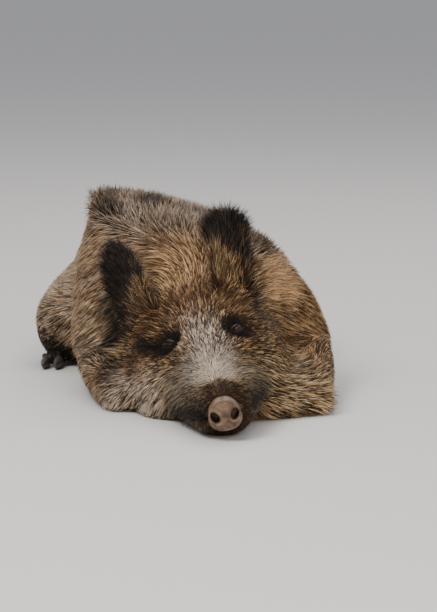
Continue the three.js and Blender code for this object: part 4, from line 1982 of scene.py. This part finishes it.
    def mesh_of(
        self,
        patch: Patch,
        points: np.ndarray,
        ways: np.ndarray,
        marks: np.ndarray,
        tone: np.ndarray,
        flat: np.ndarray,
    ) -> bpy.types.Object:
        """Joins the tufts of one piece in a mesh.

        Args:
            patch: Which piece.
            points: For each tuft its corners.
            ways: How far along the tuft each ring is.
            marks: Markings of each tuft.
            tone: How light each tuft is.
            flat: Where each tuft is on the unwrapped skin.

        Returns:
            The piece.
        """
        count, size = points.shape[:2]
        rings = patch.bends + 1
        faces, patches = [[0, 2, 1]], [[(0.0, 0.0), (0.5, 0.0), (1.0, 0.0)]]
        for ring in range(rings):
            for k in range(3):
                a, b = 3 * ring + k, 3 * ring + (k + 1) % 3
                left, right, low, high = k / 3, (k + 1) / 3, ways[ring], ways[ring + 1]
                if ring + 1 < rings:
                    faces.append([a, b, b + 3, a + 3])
                    patches.append([(left, low), (right, low), (right, high), (left, high)])
                else:
                    faces.append([a, b, size - 1])
                    patches.append([(left, low), (right, low), ((left + right) / 2, high)])
        loops = np.array([v for face in faces for v in face])
        starts = np.cumsum([0] + [len(face) for face in faces])
        base = np.arange(count)[:, None]
        mesh = bpy.data.meshes.new(patch.name)
        mesh.vertices.add(count * size)
        mesh.vertices.foreach_set("co", points.astype(np.float32).ravel())
        mesh.loops.add(count * len(loops))
        mesh.loops.foreach_set("vertex_index", (base * size + loops).astype(np.int32).ravel())
        mesh.polygons.add(count * len(faces))
        mesh.polygons.foreach_set("loop_start", (base * len(loops) + starts[:-1]).astype(np.int32).ravel())
        mesh.polygons.foreach_set("use_smooth", np.ones(count * len(faces), bool))
        mesh.update(calc_edges=True)
        mesh.validate()
        thing = bpy.data.objects.new(patch.name, mesh)
        bpy.context.scene.collection.objects.link(thing)
        reach = np.append(np.repeat(ways[:rings], 3), 1.0)
        store(thing, "along", "FLOAT", np.tile(reach, count))
        store(thing, "tone", "FLOAT", np.repeat(tone, size))
        store(thing, "marking", "FLOAT_COLOR", np.repeat(marks, size, axis=0))
        uv = mesh.uv_layers.new(name="OFBake")
        spread = 0.003 * (np.array([c for face in patches for c in face]) - 0.5)
        uv.data.foreach_set("uv", (flat[:, None, :] + spread[None]).astype(np.float32).ravel())
        mesh.materials.append(self.finish)
        return thing


# ---- small parts ----


@dataclass
class Eyeballs:
    """The two eyeballs.

    Attributes:
        eyes: The two eyes, left first.
        radius: Radius of a ball.
        finish: Their material.
    """

    eyes: list[Eye]
    radius: float
    finish: bpy.types.Material

    def build(self) -> list[bpy.types.Object]:
        """Makes both eyeballs, each with a slightly raised cornea.

        Returns:
            The balls, left first.
        """
        made = []
        for eye, name in zip(self.eyes, ("eyeball_left", "eyeball_right")):
            ball = new_ball(40, 28, self.radius, location=eye.middle)
            ball.name = ball.data.name = name
            away = places(ball) - eye.middle
            ahead = unit(away) @ eye.looks
            set_places(ball, eye.middle + away * (1.0 + 0.05 * smooth(0.80, 0.95, ahead))[:, None])
            dress(ball, self.finish)
            made.append(ball)
        return made


@dataclass
class SnoutPad:
    """The bare disc at the end of the snout, with its nostrils.

    Attributes:
        marks: The animal's landmarks.
        finish: Its material.
        half_width: Half of its width.
        half_height: Half of its height.
        thick: How far its face stands out from its middle.
        back: How far it reaches back in to the snout.
        lean: How far its face leans back, in degrees.
        nostril_apart: How far a nostril is from the middle.
        nostril_drop: How far below the middle it is.
        nostril_wide: Half of its width.
        nostril_tall: Half of its height.
        taper: How much narrower the disc is at the top.
        nostril_deep: Depth of a nostril.
        set_back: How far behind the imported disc's middle its own is.
    """

    marks: Landmarks
    finish: bpy.types.Material
    half_width: float = 30.5 * MM
    half_height: float = 31.5 * MM
    thick: float = 11.0 * MM
    back: float = 16.0 * MM
    lean: float = 9.0
    nostril_apart: float = 18.5 * MM
    nostril_drop: float = 3.0 * MM
    nostril_wide: float = 8.4 * MM
    nostril_tall: float = 12.0 * MM
    taper: float = 0.12
    nostril_deep: float = 13.0 * MM
    set_back: float = 4.0 * MM

    def build(self) -> bpy.types.Object:
        """Makes the disc.

        Returns:
            Its object.
        """
        pad = new_ball(96, 72, 1.0, rotation=(math.pi / 2, 0, 0))
        pad.name = pad.data.name = "snout_pad"
        ball = places(pad)
        ring = np.hypot(ball[:, 0], ball[:, 2])
        square = 1.0 + 0.05 * np.abs(np.sin(2 * np.arctan2(ball[:, 2], ball[:, 0])))
        front = smooth(0.15, 0.6, -ball[:, 1])
        bulge = np.sign(ball[:, 1]) * np.abs(ball[:, 1]) ** 0.45
        x = self.half_width * ball[:, 0] * square * (1.0 - self.taper * ball[:, 2])
        z = self.half_height * ball[:, 2] * square
        y = np.where(bulge < 0, self.thick, self.back) * bulge
        hollow = np.zeros(len(ball))
        rim = np.zeros(len(ball))
        for side in (-1.0, 1.0):
            over = z + self.nostril_drop
            beside = x - side * self.nostril_apart - 0.25 * side * over
            away = np.hypot(beside / self.nostril_wide, over / self.nostril_tall)
            hollow = np.maximum(hollow, fall(0.62, 1.02, away) * front)
            rim = np.maximum(rim, bell(away, 1.25, 0.16) * front)
        y += self.nostril_deep * hollow - 0.0016 * rim
        y -= 0.0018 * front * bell(ring, 0.86, 0.07)
        y += 0.0020 * front * bell(x, 0.0, 0.0022) * smooth(0.2, 0.6, -ball[:, 2])
        y += -z * math.tan(math.radians(self.lean)) * front
        local = np.stack([x, y, z], axis=1)
        local[:, 1] += 0.0007 * noise(local, 0.006, 31) * front + 0.0004 * noise(local, 0.0025, 32) * front
        placed = self.marks.snout + np.array((0.0, self.set_back, 0.0)) + local[:, :1] * self.marks.to_left
        placed = placed + local[:, 1:2] * np.array((0.0, 1.0, 0.0)) + local[:, 2:] * self.marks.head_up
        set_places(pad, placed)
        # the hollow share also paints shade inside the nostrils
        store(pad, "hollow", "FLOAT", np.clip(hollow * 1.3, 0, 1))
        dress(pad, self.finish)
        return pad


@dataclass
class Feet:
    """The hooves and dewclaws.

    Attributes:
        frame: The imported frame.
        finish: Their material.
    """

    frame: dict
    finish: bpy.types.Material

    def claws_of(self, leg: str) -> list[str]:
        """Names of the claws on one leg."""
        foot = leg.replace("leg", "")
        return sorted(n for n in self.frame["nodes"] if n.startswith((f"hoof_{foot}", f"dewclaw_{foot}")))

    def middles(self) -> list[list[np.ndarray]]:
        """The middle of each claw, foot by foot."""
        nodes = self.frame["nodes"]
        return [[np.mean(places(nodes[n]), axis=0) for n in self.claws_of(leg)] for leg in LEGS]

    def build(self) -> list[tuple[bpy.types.Object, list[str]]]:
        """Makes one piece for each foot.

        Returns:
            The pieces, each with the nodes it stands for.
        """
        made = []
        for leg in LEGS:
            foot, names = leg.replace("leg", ""), self.claws_of(leg)
            claws = copy_of([self.frame["nodes"][n] for n in names], "claws_" + foot)
            apply(claws, "SUBSURF", levels=2, render_levels=2)
            dress(claws, self.finish)
            made.append((claws, names))
        return made


# ---- the studio ----


@dataclass(frozen=True)
class Lamp:
    """A soft light that faces the animal.

    Attributes:
        name: Its name.
        place: Where it hangs.
        size: How wide it is.
        power: Its strength in watts.
        colour: Its colour.
        faces: The place it is turned to.
    """

    name: str
    place: tuple[float, float, float]
    size: float
    power: float
    colour: Colour
    faces: tuple[float, float, float] = (0.0, -0.1, 0.15)

    def build(self) -> None:
        """Hangs the light."""
        bpy.ops.object.light_add(type="AREA", location=self.place)
        lamp = bpy.context.view_layer.objects.active
        lamp.name = self.name
        lamp.data.size = self.size
        lamp.data.energy = self.power
        lamp.data.color = self.colour
        lamp.rotation_euler = (Vector(self.faces) - Vector(self.place)).to_track_quat("-Z", "Y").to_euler()


@dataclass(frozen=True)
class Studio:
    """Pale floor, soft light and the camera.

    Attributes:
        marks: The animal's landmarks.
        distance: How far the camera is from the snout.
        elevation: How far it looks down, in degrees.
        lens: Its focal length in millimetres.
        aim: What it is turned to, from the snout's lower end.
        chin: From the middle of the snout disc to its lower end: aside and along.
        chin_height: Height of that place.
        sky: Colour of the light all round.
        sky_power: Its strength.
        lamps: The lights.
    """

    marks: Landmarks
    distance: float = 6.0
    elevation: float = 11.0
    lens: float = 194.0
    aim: tuple[float, float, float] = (-0.012, 0.050, 0.188)
    chin: tuple[float, float] = (0.0008, 0.0033)
    chin_height: float = 0.054
    sky: Colour = (0.86, 0.90, 1.0)
    sky_power: float = 0.60
    lamps: tuple[Lamp, ...] = (
        Lamp("key", (-1.6, -2.2, 3.4), 2.0, 152.0, (0.99, 0.965, 0.93)),
        Lamp("top", (0.6, 1.6, 3.6), 3.0, 90.0, (1.0, 0.97, 0.93)),
        Lamp("fill", (1.3, -3.4, 1.5), 2.5, 62.0, (1.0, 0.93, 0.85)),
    )

    def build(self) -> None:
        """Makes the floor, the lights and the camera."""
        bpy.ops.object.select_all(action="DESELECT")
        bpy.ops.mesh.primitive_plane_add(size=80.0)
        floor = bpy.context.view_layer.objects.active
        floor.name = "floor"
        nodes = Nodes("pale_floor")
        fleck = nodes.add("ShaderNodeTexNoise", {"Scale": 3.0, "Detail": 3.0}).outputs["Fac"]
        nodes.colour(nodes.ramp(fleck, ((0.3, (0.60, 0.575, 0.545)), (0.7, (0.64, 0.615, 0.585)))))
        floor.data.materials.append(nodes.finish(0.9))
        world = bpy.data.worlds.new("soft_room")
        world.use_nodes = True
        background = world.node_tree.nodes["Background"]
        background.inputs["Color"].default_value = (*self.sky, 1.0)
        background.inputs["Strength"].default_value = self.sky_power
        bpy.context.scene.world = world
        for lamp in self.lamps:
            lamp.build()
        self.camera()

    def camera(self) -> None:
        """Adds the camera, low in front of the snout."""
        nose = Vector((*(self.marks.snout[:2] + np.array(self.chin)), self.chin_height))
        tilt = math.radians(self.elevation)
        place = nose + self.distance * Vector((0.0, -math.cos(tilt), math.sin(tilt)))
        bpy.ops.object.camera_add(location=place)
        camera = bpy.context.view_layer.objects.active
        camera.rotation_euler = (nose + Vector(self.aim) - place).to_track_quat("-Z", "Y").to_euler()
        camera.data.lens = self.lens
        camera.data.clip_end = 200.0
        bpy.context.scene.camera = camera


def ear_leaves(nodes: dict[str, bpy.types.Object]) -> list[EarLeaf]:
    """Finds out how each ear stands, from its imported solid.

    Args:
        nodes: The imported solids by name.

    Returns:
        The two ears, left first.
    """
    leaves = []
    for name in EARS:
        corners = places(nodes[name])
        middle = corners.mean(axis=0)
        _, _, ways = np.linalg.svd(corners - middle, full_matrices=False)
        rise = ways[0] * np.sign(ways[0][2])
        reach = (corners - middle) @ rise
        half = float(np.abs((corners - middle) @ ways[1]).max())
        faces = [tuple(face.vertices) for face in nodes[name].data.polygons]
        tree = BVHTree.FromPolygons([tuple(c) for c in corners], faces)
        leaves.append(EarLeaf(name, middle, rise, ways[1], half, float(reach.max()), tree))
    return leaves


def on_body(where: Places, start: float, end: float) -> np.ndarray:
    """Tells which places are on the body between two distances behind the eyes.

    Args:
        where: Corners of the skin.
        start: The nearer distance.
        end: The further one.

    Returns:
        True for each such place.
    """
    return (where.ear < 0.5) & (where.along >= start) & (where.along < end)


PATCHES = (
    Patch("coat_muzzle", lambda p: on_body(p, -1.0, -0.055), 0),
    Patch("coat_brow", lambda p: on_body(p, -0.055, 0.12) & (p.up > -0.02), 1),
    Patch("coat_cheeks", lambda p: on_body(p, -0.055, 0.12) & (p.up <= -0.02), 1),
    Patch("coat_ears", lambda p: p.ear >= 0.5, 0),
    Patch("coat_neck", lambda p: on_body(p, 0.12, 0.25)),
    Patch("coat_shoulders", lambda p: on_body(p, 0.25, 0.36)),
    Patch("coat_withers", lambda p: on_body(p, 0.36, 0.47)),
    Patch("coat_back", lambda p: on_body(p, 0.47, 0.60)),
    Patch("coat_loin", lambda p: on_body(p, 0.60, 0.74)),
    Patch("coat_rump", lambda p: on_body(p, 0.74, 2.0)),
)


def main() -> None:
    """Builds the boar piece by piece."""
    logging.basicConfig(level=logging.INFO, format="%(name)s: %(message)s")
    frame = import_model()
    nodes = frame["nodes"]
    marks = Landmarks.read()
    Studio(marks).build()

    hair = BristleFinish()
    leaves = ear_leaves(nodes)
    feet = Feet(frame, HornFinish().material())
    claws = feet.middles()
    body = Skin(frame, marks, leaves, claws)
    skin = body.build()
    middles = [np.mean(foot, axis=0) for foot in claws]
    coat = Coat(skin, marks, CoatMap(marks, body.eyes, leaves, middles), hair.coat(), PATCHES)
    coat.gather(nodes)
    coat.paint_skin()
    skin.data.materials.append(hair.skin())
    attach(skin, BODY)
    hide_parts(*TORSO, *EARS)

    for number, patch in enumerate(coat.patches):
        piece = coat.grow(patch, number)
        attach(piece, BODY)

    balls = Eyeballs(body.eyes, body.eye_radius, EyeFinish().material()).build()
    for ball, node in zip(balls, EYES):
        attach(ball, BODY)
        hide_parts(node)

    pad = SnoutPad(marks, NoseFinish().material()).build()
    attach(pad, BODY)
    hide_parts("snout_disc")

    for hooves, names in feet.build():
        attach(hooves, BODY)
        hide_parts(*names)


if __name__ == "__main__":
    main()
